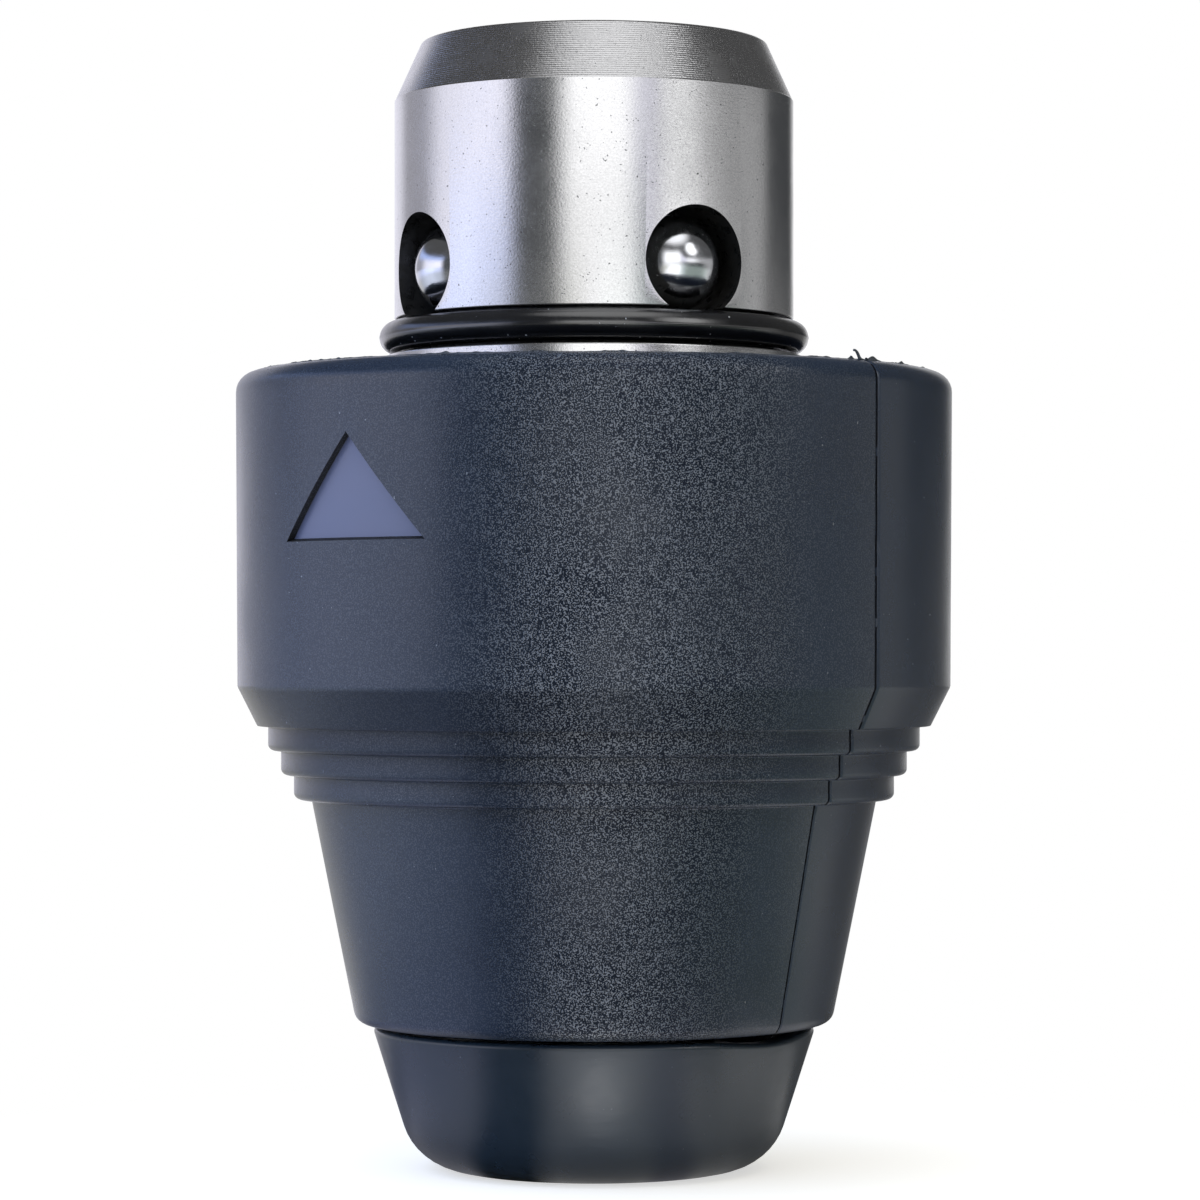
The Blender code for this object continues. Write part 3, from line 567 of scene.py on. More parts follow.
def nylon_material(name, dark, light, grain, roughness):
    material, tree, shader, place = principled(name, ior=1.58)
    patches = tree.noise(place, PATCH_SIZE, detail=3)
    colour = tree.mix(tree.fade(patches, 0.35, 0.65), (*dark, 1), (*light, 1))
    depth = grain_depth(tree, place, patches, grain)
    height = tree.noise(place, GRAIN_SIZE, detail=0)
    tops = tree.times(tree.fade(height, *GRAIN_TOPS), depth)
    # Painted shade in the hollows, then a painted sparkle of paler colour on the tops.
    colour = tree.scaled(colour, tree.math("MULTIPLY_ADD", depth, -HOLLOW_PAINTED_SHADE, 1.0))
    colour = tree.mix(tree.times(tops, PAINTED_SPARKLE_SHARE), colour, PAINTED_SPARKLE_COLOUR)
    shine = tree.math("MULTIPLY_ADD", depth, -HOLLOW_DULL, 0.5)
    shine = tree.math("MULTIPLY_ADD", tops, TOPS_SHINE, shine)
    # The painted shade of the bevel and the steps darkens the colour and dims the shine.
    unshaded = unshaded_share(tree, place)
    colour = specked(tree, place, tree.scaled(colour, unshaded), 0.22 * MM, 0.86, 0.35, (0.42, 0.44, 0.48))
    drive(tree, shader, Base_Color=colour, Specular_IOR_Level=tree.times(shine, unshaded),
          Roughness=tree.fade(patches, 0.3, 0.7, roughness - 0.03, roughness + 0.05),
          Normal=tree.bump(tree.times(height, depth), GRAIN_HEIGHT))
    return material


nylon = nylon_material("nylon", (0.0145, 0.0245, 0.046), (0.0180, 0.0300, 0.056), 1.0, 0.26)
torn_nylon = nylon_material("torn_nylon", (0.045, 0.052, 0.066), (0.075, 0.082, 0.098), 1.0, 0.50)
nylon_inside = nylon_material("nylon_inside", (0.016, 0.022, 0.036), (0.021, 0.028, 0.045), 0.25, 0.36)
# The walls of the arrow: this nylon painted near black, as painted shade inside the pocket.
arrow_wall_painted_shade = nylon_material("arrow_wall_painted_shade", (0.006, 0.006, 0.007), (0.010, 0.010, 0.012), 0.8, 0.6)
print("grain size in mm:", round(GRAIN_SIZE / MM, 2))

# %% [markdown]
# The floor of the arrow was polished in the mould and has no grain. Its pale blue colour is a painted
# reflection of the daylight on the left, which makes it paler and bluer than the barrel round it.
# The parting groove is painted near black along most of its length, as painted shade in it.

# %% Painted reflection on the floor of the arrow, and painted shade in the groove
def filmed_material(name, ior, film, dark, light, roughness, relief, ripple=None):
    """A finish that follows one film, a noise of (size, detail), with a ripple of its own if given."""
    material, tree, shader, place = principled(name, ior=ior)
    cloud = tree.noise(place, *film)
    height = tree.noise(place, ripple) if ripple else cloud
    drive(tree, shader, Base_Color=tree.mix(cloud, (*dark, 1), (*light, 1)),
          Roughness=tree.fade(cloud, 0.3, 0.7, *roughness), Normal=tree.bump(height, relief))
    return material


# Pale blue as a painted reflection of the daylight on the left.
arrow_floor = filmed_material("arrow_floor", 1.6, (2.2 * MM, 3), (0.105, 0.117, 0.200),
                              (0.118, 0.132, 0.224), (0.30, 0.38), 0.002 * MM, ripple=0.5 * MM)
# Near black as painted shade in the parting groove.
painted_groove_shade = filmed_material("painted_groove_shade", 1.3, (0.4 * MM, 2), (0.0015, 0.002, 0.004),
                              (0.004, 0.005, 0.009), (0.75, 0.95), 0.02 * MM)
print("made", arrow_floor.name, "and", painted_groove_shade.name)

# %% [markdown]
# ### Rubber
# The dust cap and the retaining ring are black rubber. The cap has the satin skin of a polished
# mould, with finger marks that change its roughness. The ring is oiled, so it is much glossier, and
# dust sticks to it in tiny pale specks.

# %% Rubber of the cap and of the ring
def cap_rubber_material():
    material, tree, shader, place = principled("cap_rubber", ior=1.6)
    smudge = tree.noise(place, 5 * MM, detail=4, roughness=0.6)
    colour = tree.mix(smudge, (0.010, 0.019, 0.031, 1), (0.015, 0.027, 0.042, 1))
    colour = specked(tree, place, colour, 0.25 * MM, 0.86, 0.2, (0.35, 0.36, 0.40))
    rub = tree.noise(tree.stretched(place, (1, 1, 3)), 2.5 * MM, detail=3)
    ripple = tree.math("MULTIPLY_ADD", tree.noise(place, 0.25 * MM), 0.1, rub)
    drive(tree, shader, Base_Color=colour, Roughness=tree.fade(smudge, 0.3, 0.7, 0.26, 0.36),
          Normal=tree.bump(ripple, 0.02 * MM))
    return material


def seal_rubber_material():
    material, tree, shader, place = principled("seal_rubber", ior=1.9)
    film = tree.noise(tree.stretched(place, (1, 1, 2)), 3 * MM, detail=3)
    colour = tree.mix(film, (0.004, 0.004, 0.005, 1), (0.009, 0.009, 0.011, 1))
    colour = specked(tree, place, colour, 0.24 * MM, 0.83, 1.0, (0.50, 0.50, 0.52))
    drive(tree, shader, Base_Color=colour, Roughness=tree.fade(film, 0.35, 0.65, 0.15, 0.25),
          Normal=tree.bump(tree.noise(place, 0.3 * MM), 0.006 * MM))
    return material


cap_rubber = cap_rubber_material()
seal_rubber = seal_rubber_material()
print("made", cap_rubber.name, "and", seal_rubber.name)

# %% [markdown]
# ### Ground and turned steel
# The spigot is hardened and then ground on centres, which leaves very fine rings round it and now
# and then a pit. The noise is squeezed along the axis, so that its blobs become rings. The turned
# bevel keeps the real ridges of the lathe tool, which are modelled later, and only needs the
# sparkle of torn metal on top of them. The walls of the windows are black, partly from oil and dirt
# and partly as painted shade inside the holes.

# %% Steel of the holder
def ground_steel_material(name, colour, roughness, line_height, speckle, pitting=1.0):
    material, tree, shader, place = principled(name, metallic=1.0)
    cloud = tree.noise(place, 3 * MM, detail=4, roughness=0.6)
    base = tree.mix(cloud, (*[part * 0.93 for part in colour], 1), (*colour, 1))
    mottle = tree.noise(place, 0.13 * MM, detail=1)
    base = tree.scaled(base, tree.fade(mottle, 0.25, 0.75, 0.925, 1.04))
    pits = tree.fade(tree.noise(place, 0.15 * MM, detail=0), 0.200, 0.160)
    base = tree.mix(tree.times(pits, 0.85 * pitting), base, (0.04, 0.04, 0.045, 1))
    lines = tree.noise(tree.stretched(place, (1, 1, 14)), 1.3 * MM, detail=3, roughness=0.7)
    dots = tree.noise(place, 0.16 * MM, detail=1)
    height = tree.math("MULTIPLY_ADD", dots, speckle, lines)
    height = tree.math("SUBTRACT", height, tree.times(pits, 6.0 * pitting))
    rough = tree.fade(tree.math("MULTIPLY_ADD", dots, 0.5, cloud), 0.4, 1.0,
                      roughness - 0.03, roughness + 0.05)
    drive(tree, shader, Base_Color=base, Roughness=rough, Normal=tree.bump(height, line_height))
    return material


ground_steel = ground_steel_material("ground_steel", (0.66, 0.66, 0.67), 0.18, 0.0032 * MM, 1.6)
turned_steel = ground_steel_material("turned_steel", (0.58, 0.58, 0.59), 0.25, 0.008 * MM, 1.3, 0.3)
bore_steel = ground_steel_material("bore_steel", (0.34, 0.34, 0.35), 0.38, 0.006 * MM, 0.6)
# Black walls of holes and grooves: partly oil and dirt, partly painted shade inside them.
oiled_and_shaded_wall = filmed_material("oiled_and_shaded_wall", 1.47, (0.9 * MM, 3), (0.004, 0.004, 0.004),
                             (0.018, 0.017, 0.015), (0.22, 0.5), 0.03 * MM)
print("made", ground_steel.name, turned_steel.name, bore_steel.name, oiled_and_shaded_wall.name)

# %% [markdown]
# ### Balls and the hidden steel
# The balls are polished bearing steel with the first dents of use. The rings, washers and the plate
# inside are hardened parts straight from the furnace, brown-black with a grey shine, and the spring
# is oiled wire.

# %% Ball steel and dark steel
def ball_steel_material():
    material, tree, shader, place = principled("ball_steel", metallic=1.0)
    cloud = tree.noise(place, 0.8 * MM, detail=3)
    base = tree.mix(cloud, (0.62, 0.63, 0.66, 1), (0.74, 0.75, 0.79, 1))
    dents = tree.fade(tree.noise(place, 0.42 * MM, detail=1), 0.25, 0.17)
    scratch = tree.noise(tree.stretched(place, (1, 1, 6)), 0.5 * MM, detail=2)
    height = tree.math("SUBTRACT", tree.times(scratch, 0.08), dents)
    drive(tree, shader, Base_Color=base, Roughness=tree.fade(cloud, 0.3, 0.7, 0.12, 0.21),
          Normal=tree.bump(height, 0.03 * MM))
    return material


def dark_steel_material(name, dark, light, roughness):
    material, tree, shader, place = principled(name, metallic=1.0)
    cloud = tree.noise(place, 2.2 * MM, detail=4, roughness=0.6)
    base = tree.mix(tree.fade(cloud, 0.3, 0.7), (*dark, 1), (*light, 1))
    scale = tree.noise(place, 0.25 * MM, detail=2)
    drive(tree, shader, Base_Color=base, Normal=tree.bump(scale, 0.008 * MM),
          Roughness=tree.fade(cloud, 0.3, 0.7, roughness - 0.06, roughness + 0.08))
    return material


ball_steel = ball_steel_material()
hardened_steel = dark_steel_material("hardened_steel", (0.16, 0.14, 0.13), (0.34, 0.33, 0.32), 0.36)
spring_steel = dark_steel_material("spring_steel", (0.30, 0.29, 0.28), (0.52, 0.51, 0.49), 0.27)
print("made", ball_steel.name, hardened_steel.name, spring_steel.name)

# %% [markdown]
# ## Turned shapes
# Almost every piece of a chuck is turned, so one function makes them all: it takes the outline of
# half a section and sweeps it round the Z axis. Blender's Screw modifier does this too, but here
# the columns may stand closer together where a detail needs them, and a small function may push
# single points in or out. An outline runs down its outer side and back up the inner one.

# %% Outlines with rounded corners
def rounded(corners, steps=6):
    """An outline through corners of (radius, height, fillet)."""
    outline = []
    for index, (x, z, fillet) in enumerate(corners):
        if not fillet:
            outline.append((x, z))
            continue
        corner = Vector((x, z))
        before = Vector(corners[index - 1][:2]) - corner
        after = Vector(corners[(index + 1) % len(corners)][:2]) - corner
        half_angle = before.angle(after) / 2
        reach = min(fillet / math.tan(half_angle), before.length * 0.49, after.length * 0.49)
        middle = (before.normalized() + after.normalized()).normalized()
        centre = corner + middle * (reach / math.cos(half_angle))
        first = corner + before.normalized() * reach - centre
        last = corner + after.normalized() * reach - centre
        start = math.atan2(first.y, first.x)
        sweep = (math.atan2(last.y, last.x) - start + math.pi) % (2 * math.pi) - math.pi
        for step in range(steps + 1):
            angle = start + sweep * step / steps
            outline.append((centre.x + first.length * math.cos(angle),
                            centre.y + first.length * math.sin(angle)))
    return outline


def refined(outline, longest):
    """The same open outline with points added, so that no stretch is longer than longest."""
    fine = []
    for (r1, z1), (r2, z2) in zip(outline, outline[1:]):
        parts = max(1, math.ceil(math.hypot(r2 - r1, z2 - z1) / longest))
        fine += [(r1 + (r2 - r1) * i / parts, z1 + (z2 - z1) * i / parts) for i in range(parts)]
    return fine + [outline[-1]]


print("a square corner becomes", len(rounded([(1, 1, 0.2), (1, 0, 0), (0, 0, 0), (0, 1, 0)])), "points")

# %% [markdown]
# The sweep puts a copy of the outline on every column and joins neighbours with four-sided faces.
# Faces that meet at a small angle are shaded as one smooth surface; sharper edges stay crisp.

# %% Sweep an outline round the axis
COLUMNS = 360


def even_columns(count=COLUMNS):
    return [2 * math.pi * index / count for index in range(count)]


def smooth(obj, sharp_degrees=28):
    obj.data.shade_smooth()
    obj.data.set_sharp_from_angle(angle=math.radians(sharp_degrees))
    return obj


def swept(name, outline, material, columns=None, push=None):
    """A closed outline turned round Z. push(angle, r, z, row) may return a moved (r, z)."""
    columns = columns or even_columns()
    rows = len(outline)
    points = []
    for angle in columns:
        cosine, sine = math.cos(angle), math.sin(angle)
        for row, (r, z) in enumerate(outline):
            if push:
                r, z = push(angle, r, z, row)
            points.append((r * cosine, r * sine, z))
    faces = []
    for column in range(len(columns)):
        here, there = column * rows, (column + 1) % len(columns) * rows
        for row in range(rows):
            below = (row + 1) % rows
            faces.append((here + row, here + below, there + below, there + row))
    mesh = bpy.data.meshes.new(name)
    mesh.from_pydata(points, [], faces)
    return smooth(new_piece(name, mesh, material))


print("columns round a turned piece:", COLUMNS)

# %% [markdown]
# ## Cutting windows, slots and pockets
# Holes across a turned piece are booleans, as in a machine shop: the cutter is a solid of the
# drill's or end mill's shape. With the Transfer setting the new walls take the cutter's material,
# which is how the window walls become black. All cutters of a kind are joined first, so that one
# boolean does the work.

# %% Boolean helpers
def joined(objects):
    """One object with the meshes and materials of all of them."""
    with bpy.context.temp_override(active_object=objects[0], selected_editable_objects=objects):
        bpy.ops.object.join()
    return objects[0]


def mesh_of(obj):
    """The mesh that an object's modifiers or bevel give."""
    evaluated = obj.evaluated_get(bpy.context.evaluated_depsgraph_get())
    return bpy.data.meshes.new_from_object(evaluated)


def combine(target, other, operation="DIFFERENCE"):
    """Cuts other out of target, or joins it on, and removes other."""
    modifier = target.modifiers.new("combine", "BOOLEAN")
    modifier.object = other
    modifier.operation = operation
    modifier.solver = "EXACT"
    modifier.material_mode = "TRANSFER"
    result = mesh_of(target)
    target.modifiers.clear()
    target.data = result
    bpy.data.objects.remove(other, do_unlink=True)
    return smooth(target)


print("pieces can be", joined.__name__, "or used to", combine.__name__, "two into one")

# %% [markdown]
# A cutter is mostly a convex solid, and a convex hull makes one from nothing but its points. It is
# built at the origin and then turned into place, so each kind needs to be described only once.

# %% Cutters and paint
OVERCUT = 1.0 * MM


def placed(obj, angle, height=0.0):
    """Turns a cutter about Z, and lifts it."""
    obj.rotation_euler.z = angle
    obj.location.z = height
    return obj


def hull(name, points, material):
    """The closed solid that spans these points."""
    shape = bmesh.new()
    for point in points:
        shape.verts.new(point)
    made = bmesh.ops.convex_hull(shape, input=shape.verts)
    inside = [item for item in made["geom_interior"] if isinstance(item, bmesh.types.BMVert)]
    bmesh.ops.delete(shape, geom=inside, context="VERTS")
    bmesh.ops.recalc_face_normals(shape, faces=shape.faces)
    return piece_of(shape, name, material)


def bar(name, low, high, material, angle):
    """A block between two opposite corners, turned about Z."""
    points = [(x, y, z) for x in (low[0], high[0]) for y in (low[1], high[1]) for z in (low[2], high[2])]
    return placed(hull(name, points, material), angle)


def paint(obj, material, test):
    """Gives this material to the faces whose centre passes test(radius, height, angle)."""
    obj.data.materials.append(material)
    slot = len(obj.data.materials) - 1
    for face in obj.data.polygons:
        x, y, z = face.center
        if test(math.hypot(x, y), z, math.atan2(y, x)):
            face.material_index = slot


print("cutters run past the surface by", round(OVERCUT / MM, 1), "mm")

# %% [markdown]
# ## The sleeve
# This is the part a hand pulls back to free the tool. Outside it has a barrel, a bevel, three small
# steps for the fingertips and a cone. Inside, a hub guides it on the holder, and eight cored
# pockets with ribs between them keep its walls even, because thick nylon sinks as it cools.

# %% Measures of the sleeve
STEP_WIDTH = 0.95 * MM
STEP_FOOT = 1.3 * MM
BEVEL_FOOT = 0.8 * MM
BARREL_DRAFT = 0.14 * MM
COLLAR_DEPTH = 1.96 * MM
MOUTH_WALL = 2.8 * MM
CONE_WIDTH = 3.3 * MM
HUB_WALL = 2.6 * MM
HUB_HEIGHT = 6.0 * MM
HOLLOW_LIFT = 1.5 * MM

ring_low, ring_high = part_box("locking_ring")
rim_z = sleeve_high.z
barrel_radius = round(sleeve_high.x, 4)
barrel_wall = 3.0 * MM
hollow_radius = barrel_radius - barrel_wall
hub_bore = land_radius + SEAT_GAP
hub_radius = hub_bore + HUB_WALL
sleeve_bore = round(ring_high.x, 5) + SEAT_GAP
mouth_radius = ring_high.x - COLLAR_DEPTH
cone_tip = sleeve_bore + MOUTH_WALL
cone_top = cone_tip + CONE_WIDTH
hollow_z = shoulder_z + HOLLOW_LIFT
hub_top = hollow_z + HUB_HEIGHT
print("heights of rim, barrel foot and cone top in mm:",
      [round(z / MM, 2) for z in (rim_z, barrel_z, steps_z)])

# %% [markdown]
# The section is one closed outline, down the outer side and up the inner one. Written as corners
# with a fillet each, it stays as readable as a drawing, and the loop makes the three equal steps.

# %% Outline of the sleeve
def sleeve_outside():
    """From the rim down the barrel, the bevel, the steps and the cone."""
    radius = cone_top + STEP_FOOT + STEP_WIDTH * (STEP_COUNT - 1)
    corners = [
        (barrel_radius, rim_z, 1.4 * MM),
        (barrel_radius - BARREL_DRAFT, barrel_z, 0.5 * MM),
        (radius + BEVEL_FOOT, bevel_z, 0.12 * MM),
    ]
    for index in range(STEP_COUNT):
        top = bevel_z - STEP_HEIGHT * index
        corners += [(radius, top, 0.15 * MM), (radius, top - STEP_HEIGHT, 0.5 * MM)]
        radius -= STEP_WIDTH
    return corners + [(cone_top, steps_z, 0.2 * MM), (cone_tip, sleeve_low.z, 1.0 * MM)]


def sleeve_inside():
    """From the front edge up the bore, past the collar and the ledge, to the hub and the hollow."""
    collar_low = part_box("thrust_washer")[1].z + SEAT_GAP
    collar_high = ring_low.z - SEAT_GAP
    ledge_z = shoulder_z - SLEEVE_TRAVEL - SEAT_GAP
    return [
        (sleeve_bore, sleeve_low.z, 0.3 * MM), (sleeve_bore, collar_low, 0),
        (mouth_radius, collar_low, 0), (mouth_radius, collar_high, 0),
        (sleeve_bore, collar_high, 0), (sleeve_bore, ledge_z, 0), (hub_bore, ledge_z, 0),
        (hub_bore, hub_top, 0.3 * MM), (hub_radius, hub_top, 0.6 * MM),
        (hub_radius, hollow_z, 0.3 * MM), (hollow_radius, hollow_z, 0.6 * MM),
        (hollow_radius, rim_z, 0.6 * MM),
    ]


print("corners of the sleeve:", len(sleeve_outside() + sleeve_inside()))

# %% [markdown]
# The mould opens in two halves, which leave a fine groove down both sides. A texture could only
# darken it, but its edges have to catch the light, so it is modelled: the columns stand close
# together there, and the push function sinks the middle one.

# %% The parting groove
SEAM_ANGLES = (PARTING_ANGLE, PARTING_ANGLE + math.pi)
SEAM_HALF_WIDTH = 0.14 * MM
SEAM_DEPTH = 0.28 * MM
SEAM_UNEVENNESS = 0.35
SEAM_CLEARANCE = 0.004
FILLET_STEPS = 7
TIP_ROWS = 5
SEAM_COLUMNS = (-0.016, -0.010, -0.0038, -0.0019, 0.0, 0.0019, 0.0038, 0.010, 0.016)


def wrapped(angle):
    return (angle + math.pi) % (2 * math.pi) - math.pi


def seam_columns():
    """Even columns, replaced by closer ones at both parting lines."""
    near = max(SEAM_COLUMNS) + SEAM_CLEARANCE
    columns = [a for a in even_columns() if min(abs(wrapped(a - s)) for s in SEAM_ANGLES) > near]
    for seam in SEAM_ANGLES:
        columns += [(seam + offset) % (2 * math.pi) for offset in SEAM_COLUMNS]
    return sorted(columns)


def across_seam(angle):
    """How far an angle lies from the nearest seam, as a share of the groove's half width."""
    return min(abs(wrapped(angle - seam)) for seam in SEAM_ANGLES) * barrel_radius / SEAM_HALF_WIDTH


def is_outside(r, z):
    """True on the sleeve's outer skin."""
    return r > (hollow_radius + barrel_wall / 2 if z > barrel_z else sleeve_bore + 2.2 * MM)


def seam_push(last_row):
    """Sinks the groove into the outer rows, deeper and shallower along its length."""
    def push(angle, r, z, row):
        if row > last_row:
            return r, z
        wave = noise.noise((0.3, angle, z / (0.9 * MM)))
        depth = SEAM_DEPTH * (1.0 + SEAM_UNEVENNESS * wave)
        return r - depth * max(0.0, 1.0 - across_seam(angle)), z
    return push


def make_sleeve():
    whole = rounded(sleeve_outside() + sleeve_inside(), FILLET_STEPS)
    outer_count = len(sleeve_outside()) * (FILLET_STEPS + 1)
    outer = refined(whole[:outer_count], 0.6 * MM)
    push = seam_push(len(outer) - TIP_ROWS)
    return swept("sleeve", outer + whole[outer_count:], nylon, seam_columns(), push)


sleeve = make_sleeve()
print("faces of the plain sleeve:", len(sleeve.data.polygons))

# %% [markdown]
# The arrow shows which way the sleeve is pulled. It is a shallow pocket with upright walls and a
# sloped one along its base, and the walls get painted shade. Its cutter is a thin block with a
# triangular outline, bent round the axis: two layers of points, one just outside the barrel and one
# at the depth of the floor. So the floor follows the barrel, and it takes the polished finish with
# its painted reflection.

# %% Cutter of the arrow
ARROW_ANGLE = math.radians(-130.7)
ARROW_WIDTH = 13.4 * MM
ARROW_HEIGHT = 7.6 * MM
ARROW_DROP = 5.2 * MM
ARROW_DEPTH = 0.6 * MM
BASE_SLOPE = 0.40
ARROW_STEPS = 24


def arrow_layer(shape, reach):
    """Rows of points from the arrow's base to its tip, at this height above the barrel."""
    radius = barrel_radius + reach
    tip_z = rim_z - ARROW_DROP
    height = ARROW_HEIGHT + reach * BASE_SLOPE
    rows = []
    for row in range(ARROW_STEPS):
        share = 1 - row / ARROW_STEPS
        half = ARROW_WIDTH / 2 * share * height / ARROW_HEIGHT
        angles = [math.asin(half * (2 * i / ARROW_STEPS - 1) / barrel_radius)
                  for i in range(ARROW_STEPS + 1)]
        z = tip_z - height * share
        rows.append([shape.verts.new((radius * math.cos(a), radius * math.sin(a), z)) for a in angles])
    rows.append([shape.verts.new((radius, 0, tip_z))] * (ARROW_STEPS + 1))
    return rows


def arrow_cutter():
    """A triangular block bent round the barrel, with the floor's finish on its inner side."""
    shape = bmesh.new()
    inner, outer = arrow_layer(shape, -ARROW_DEPTH), arrow_layer(shape, OVERCUT)

    def patch(a, b, c, d, slot):
        shape.faces.new(dict.fromkeys((a, b, c, d))).material_index = slot

    for layer, slot in ((inner, 1), (outer, 0)):
        for low, high in zip(layer, layer[1:]):
            for i in range(ARROW_STEPS):
                patch(low[i], low[i + 1], high[i + 1], high[i], slot)
    edges = [([row[side] for row in inner], [row[side] for row in outer]) for side in (0, -1)]
    for near, far in edges + [(inner[0], outer[0])]:
        for i in range(len(near) - 1):
            patch(near[i], near[i + 1], far[i + 1], far[i], 0)
    bmesh.ops.recalc_face_normals(shape, faces=shape.faces)
    return placed(piece_of(shape, "arrow", arrow_wall_painted_shade, arrow_floor), ARROW_ANGLE)


print("arrow in mm, wide and high:", round(ARROW_WIDTH / MM, 1), round(ARROW_HEIGHT / MM, 1))

# %% [markdown]
# The pockets start as one ring below the hollow's floor. Four bars across the axis are taken out of
# it, and each leaves two ribs. This cutter and the arrow are joined, so that one boolean does both.
# Then the faces are sorted by their place: the inside is plain nylon without much grain, and noise
# along the groove says where it gets painted shade and where that breaks off.

# %% Cut the pockets and the arrow
POCKET_GAPS = (0.3 * MM, 0.9 * MM)
POCKET_FLOOR = 0.4 * MM
POCKET_COLUMNS = 240
RIB_HALF = 0.8 * MM
RIB_ANGLES = (22.5, 67.5, 112.5, 157.5)
# Where the parting groove gets painted shade, and where noise breaks it off.
GROOVE_SHADE_WIDTH = 0.9
GROOVE_SHADE_PATCH = 0.7 * MM
GROOVE_SHADE_BREAK = -0.28


def pocket_cutter():
    """A ring below the hollow's floor, which ribs divide into eight pockets."""
    inner, outer = hub_radius + POCKET_GAPS[0], hollow_radius - POCKET_GAPS[1]
    top, bottom = hollow_z + OVERCUT, barrel_z + POCKET_FLOOR
    outline = [(outer, top), (outer, bottom), (inner, bottom), (inner, top)]
    ring = swept("pockets", outline, nylon_inside, even_columns(POCKET_COLUMNS))
    for angle in RIB_ANGLES:
        low = (-barrel_radius, -RIB_HALF, bottom - OVERCUT)
        high = (barrel_radius, RIB_HALF, top + OVERCUT)
        combine(ring, bar("rib", low, high, nylon_inside, math.radians(angle)))
    return ring


def in_painted_groove_shade(r, z, angle):
    in_groove = is_outside(r, z) and across_seam(angle) < GROOVE_SHADE_WIDTH
    return in_groove and noise.noise((0, 0, z / GROOVE_SHADE_PATCH)) > GROOVE_SHADE_BREAK


combine(sleeve, joined([pocket_cutter(), arrow_cutter()]))
paint(sleeve, nylon_inside, lambda r, z, angle: not is_outside(r, z))
# Painted shade in the parting groove, broken here and there by noise.
paint(sleeve, painted_groove_shade, in_painted_groove_shade)
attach(sleeve, "sleeve")
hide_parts("actuating_sleeve")
print("faces of the cut sleeve:", len(sleeve.data.polygons))

# %% [markdown]
# Where the mould closed on the rim, nylon squeezed out and was scraped off by hand. What is left is
# a ragged edge a fraction of a millimetre high, with chips at the parting lines. It is a thin ring
# of triangular section, whose crest goes up and down by noise.

# %% Ragged edge of the rim
BURR_COLUMNS = 1500
BURR_BASE = 0.16 * MM
BURR_HEIGHT = 0.16 * MM
CHIP_HEIGHT = 0.36 * MM
BURR_INSET = 1.35 * MM


def burr_height(angle):
    """Low and broken all round, higher in clumps near the parting lines."""
    place = Vector((math.cos(angle), math.sin(angle), 0)) * 26
    clumps = max(0.0, noise.noise(place * 0.35) + 0.2)
    teeth = max(0.0, noise.noise(place * 1.7) + 0.15)
    near = max(math.exp(-(wrapped(angle - seam) / 0.07) ** 2) for seam in SEAM_ANGLES)
    chips = max(0.0, noise.noise(place * 1.2 + Vector((0, 0, 5))) + 0.1)
    return 0.02 * MM + BURR_HEIGHT * clumps * (0.4 + 1.6 * teeth) + CHIP_HEIGHT * near * chips * 1.8


def make_rim_flash():
    middle = barrel_radius - BURR_INSET
    outline = [(middle, rim_z + BURR_HEIGHT), (middle + BURR_BASE, rim_z - 0.10 * MM),
               (middle - BURR_BASE, rim_z - 0.06 * MM)]

    def push(angle, r, z, row):
        if row > 0:
            return r, z
        lean = 0.06 * MM * noise.noise((angle * 40, 0, 3))
        return r + lean, rim_z + burr_height(angle)

    return swept("rim_flash", outline, torn_nylon, even_columns(BURR_COLUMNS), push)


rim_flash = make_rim_flash()
print("highest burr in mm:",
      round(max(burr_height(a) for a in even_columns(BURR_COLUMNS)) / MM, 2))

# %% [markdown]
# The knife left one long curl and two short ones. A curve with a round bevel makes them, thicker
# at the root, and the same helper makes the wire of the spring later. Each curl has an angle from
# the parting line, a length, a thickness and the slope at which it rises.

# %% Curls on the rim
CURL_POINTS = 10
CURL_INSET = 1.3 * MM
CURLS = [(-0.002, 1.45 * MM, 0.14 * MM, 0.10), (-0.040, 0.55 * MM, 0.10 * MM, 0.0),
         (0.030, 0.60 * MM, 0.11 * MM, -0.2)]


def wire(name, points, thickness, facets, material):
    """A round wire through points of (place, share of the thickness)."""
    curve = bpy.data.curves.new(name, "CURVE")
    curve.dimensions = "3D"
    curve.bevel_depth = thickness
    curve.bevel_resolution = facets
    curve.use_fill_caps = True
    spline = curve.splines.new("POLY")
    spline.points.add(len(points) - 1)
    for point, (place, share) in zip(spline.points, points):
        point.co = (*place, 1)
        point.radius = share
    path = new_object(name, curve)
    mesh = mesh_of(path)
    bpy.data.objects.remove(path, do_unlink=True)
    return new_piece(name, mesh, material)


def make_curl(angle, length, thickness, rise):
    """A curl of nylon that lies back along the rim, thicker at its root."""
    radius = barrel_radius - CURL_INSET
    place = Vector((radius * math.cos(angle), radius * math.sin(angle), rim_z - 0.05 * MM))
    along = Vector((math.sin(angle), -math.cos(angle), 0))
    points = []
    for index in range(CURL_POINTS):
        share = index / (CURL_POINTS - 1)
        width = 1.0 - 0.4 * share + 0.2 * noise.noise((share * 3, angle * 90, 0))
        points.append((place, width))
        tilt = rise + 0.9 * math.sin(3.6 * share)
        step = (along * math.cos(tilt) + Vector((0, 0, math.sin(tilt)))) * length / CURL_POINTS
        place = place + step
    return wire("curl", points, thickness, 3, torn_nylon)


curls = [make_curl(PARTING_ANGLE + offset, length, thickness, rise)
         for offset, length, thickness, rise in CURLS]
rim_flash = smooth(joined([rim_flash] + curls), 60)
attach(rim_flash, "sleeve")
print("curls on the rim:", len(curls))

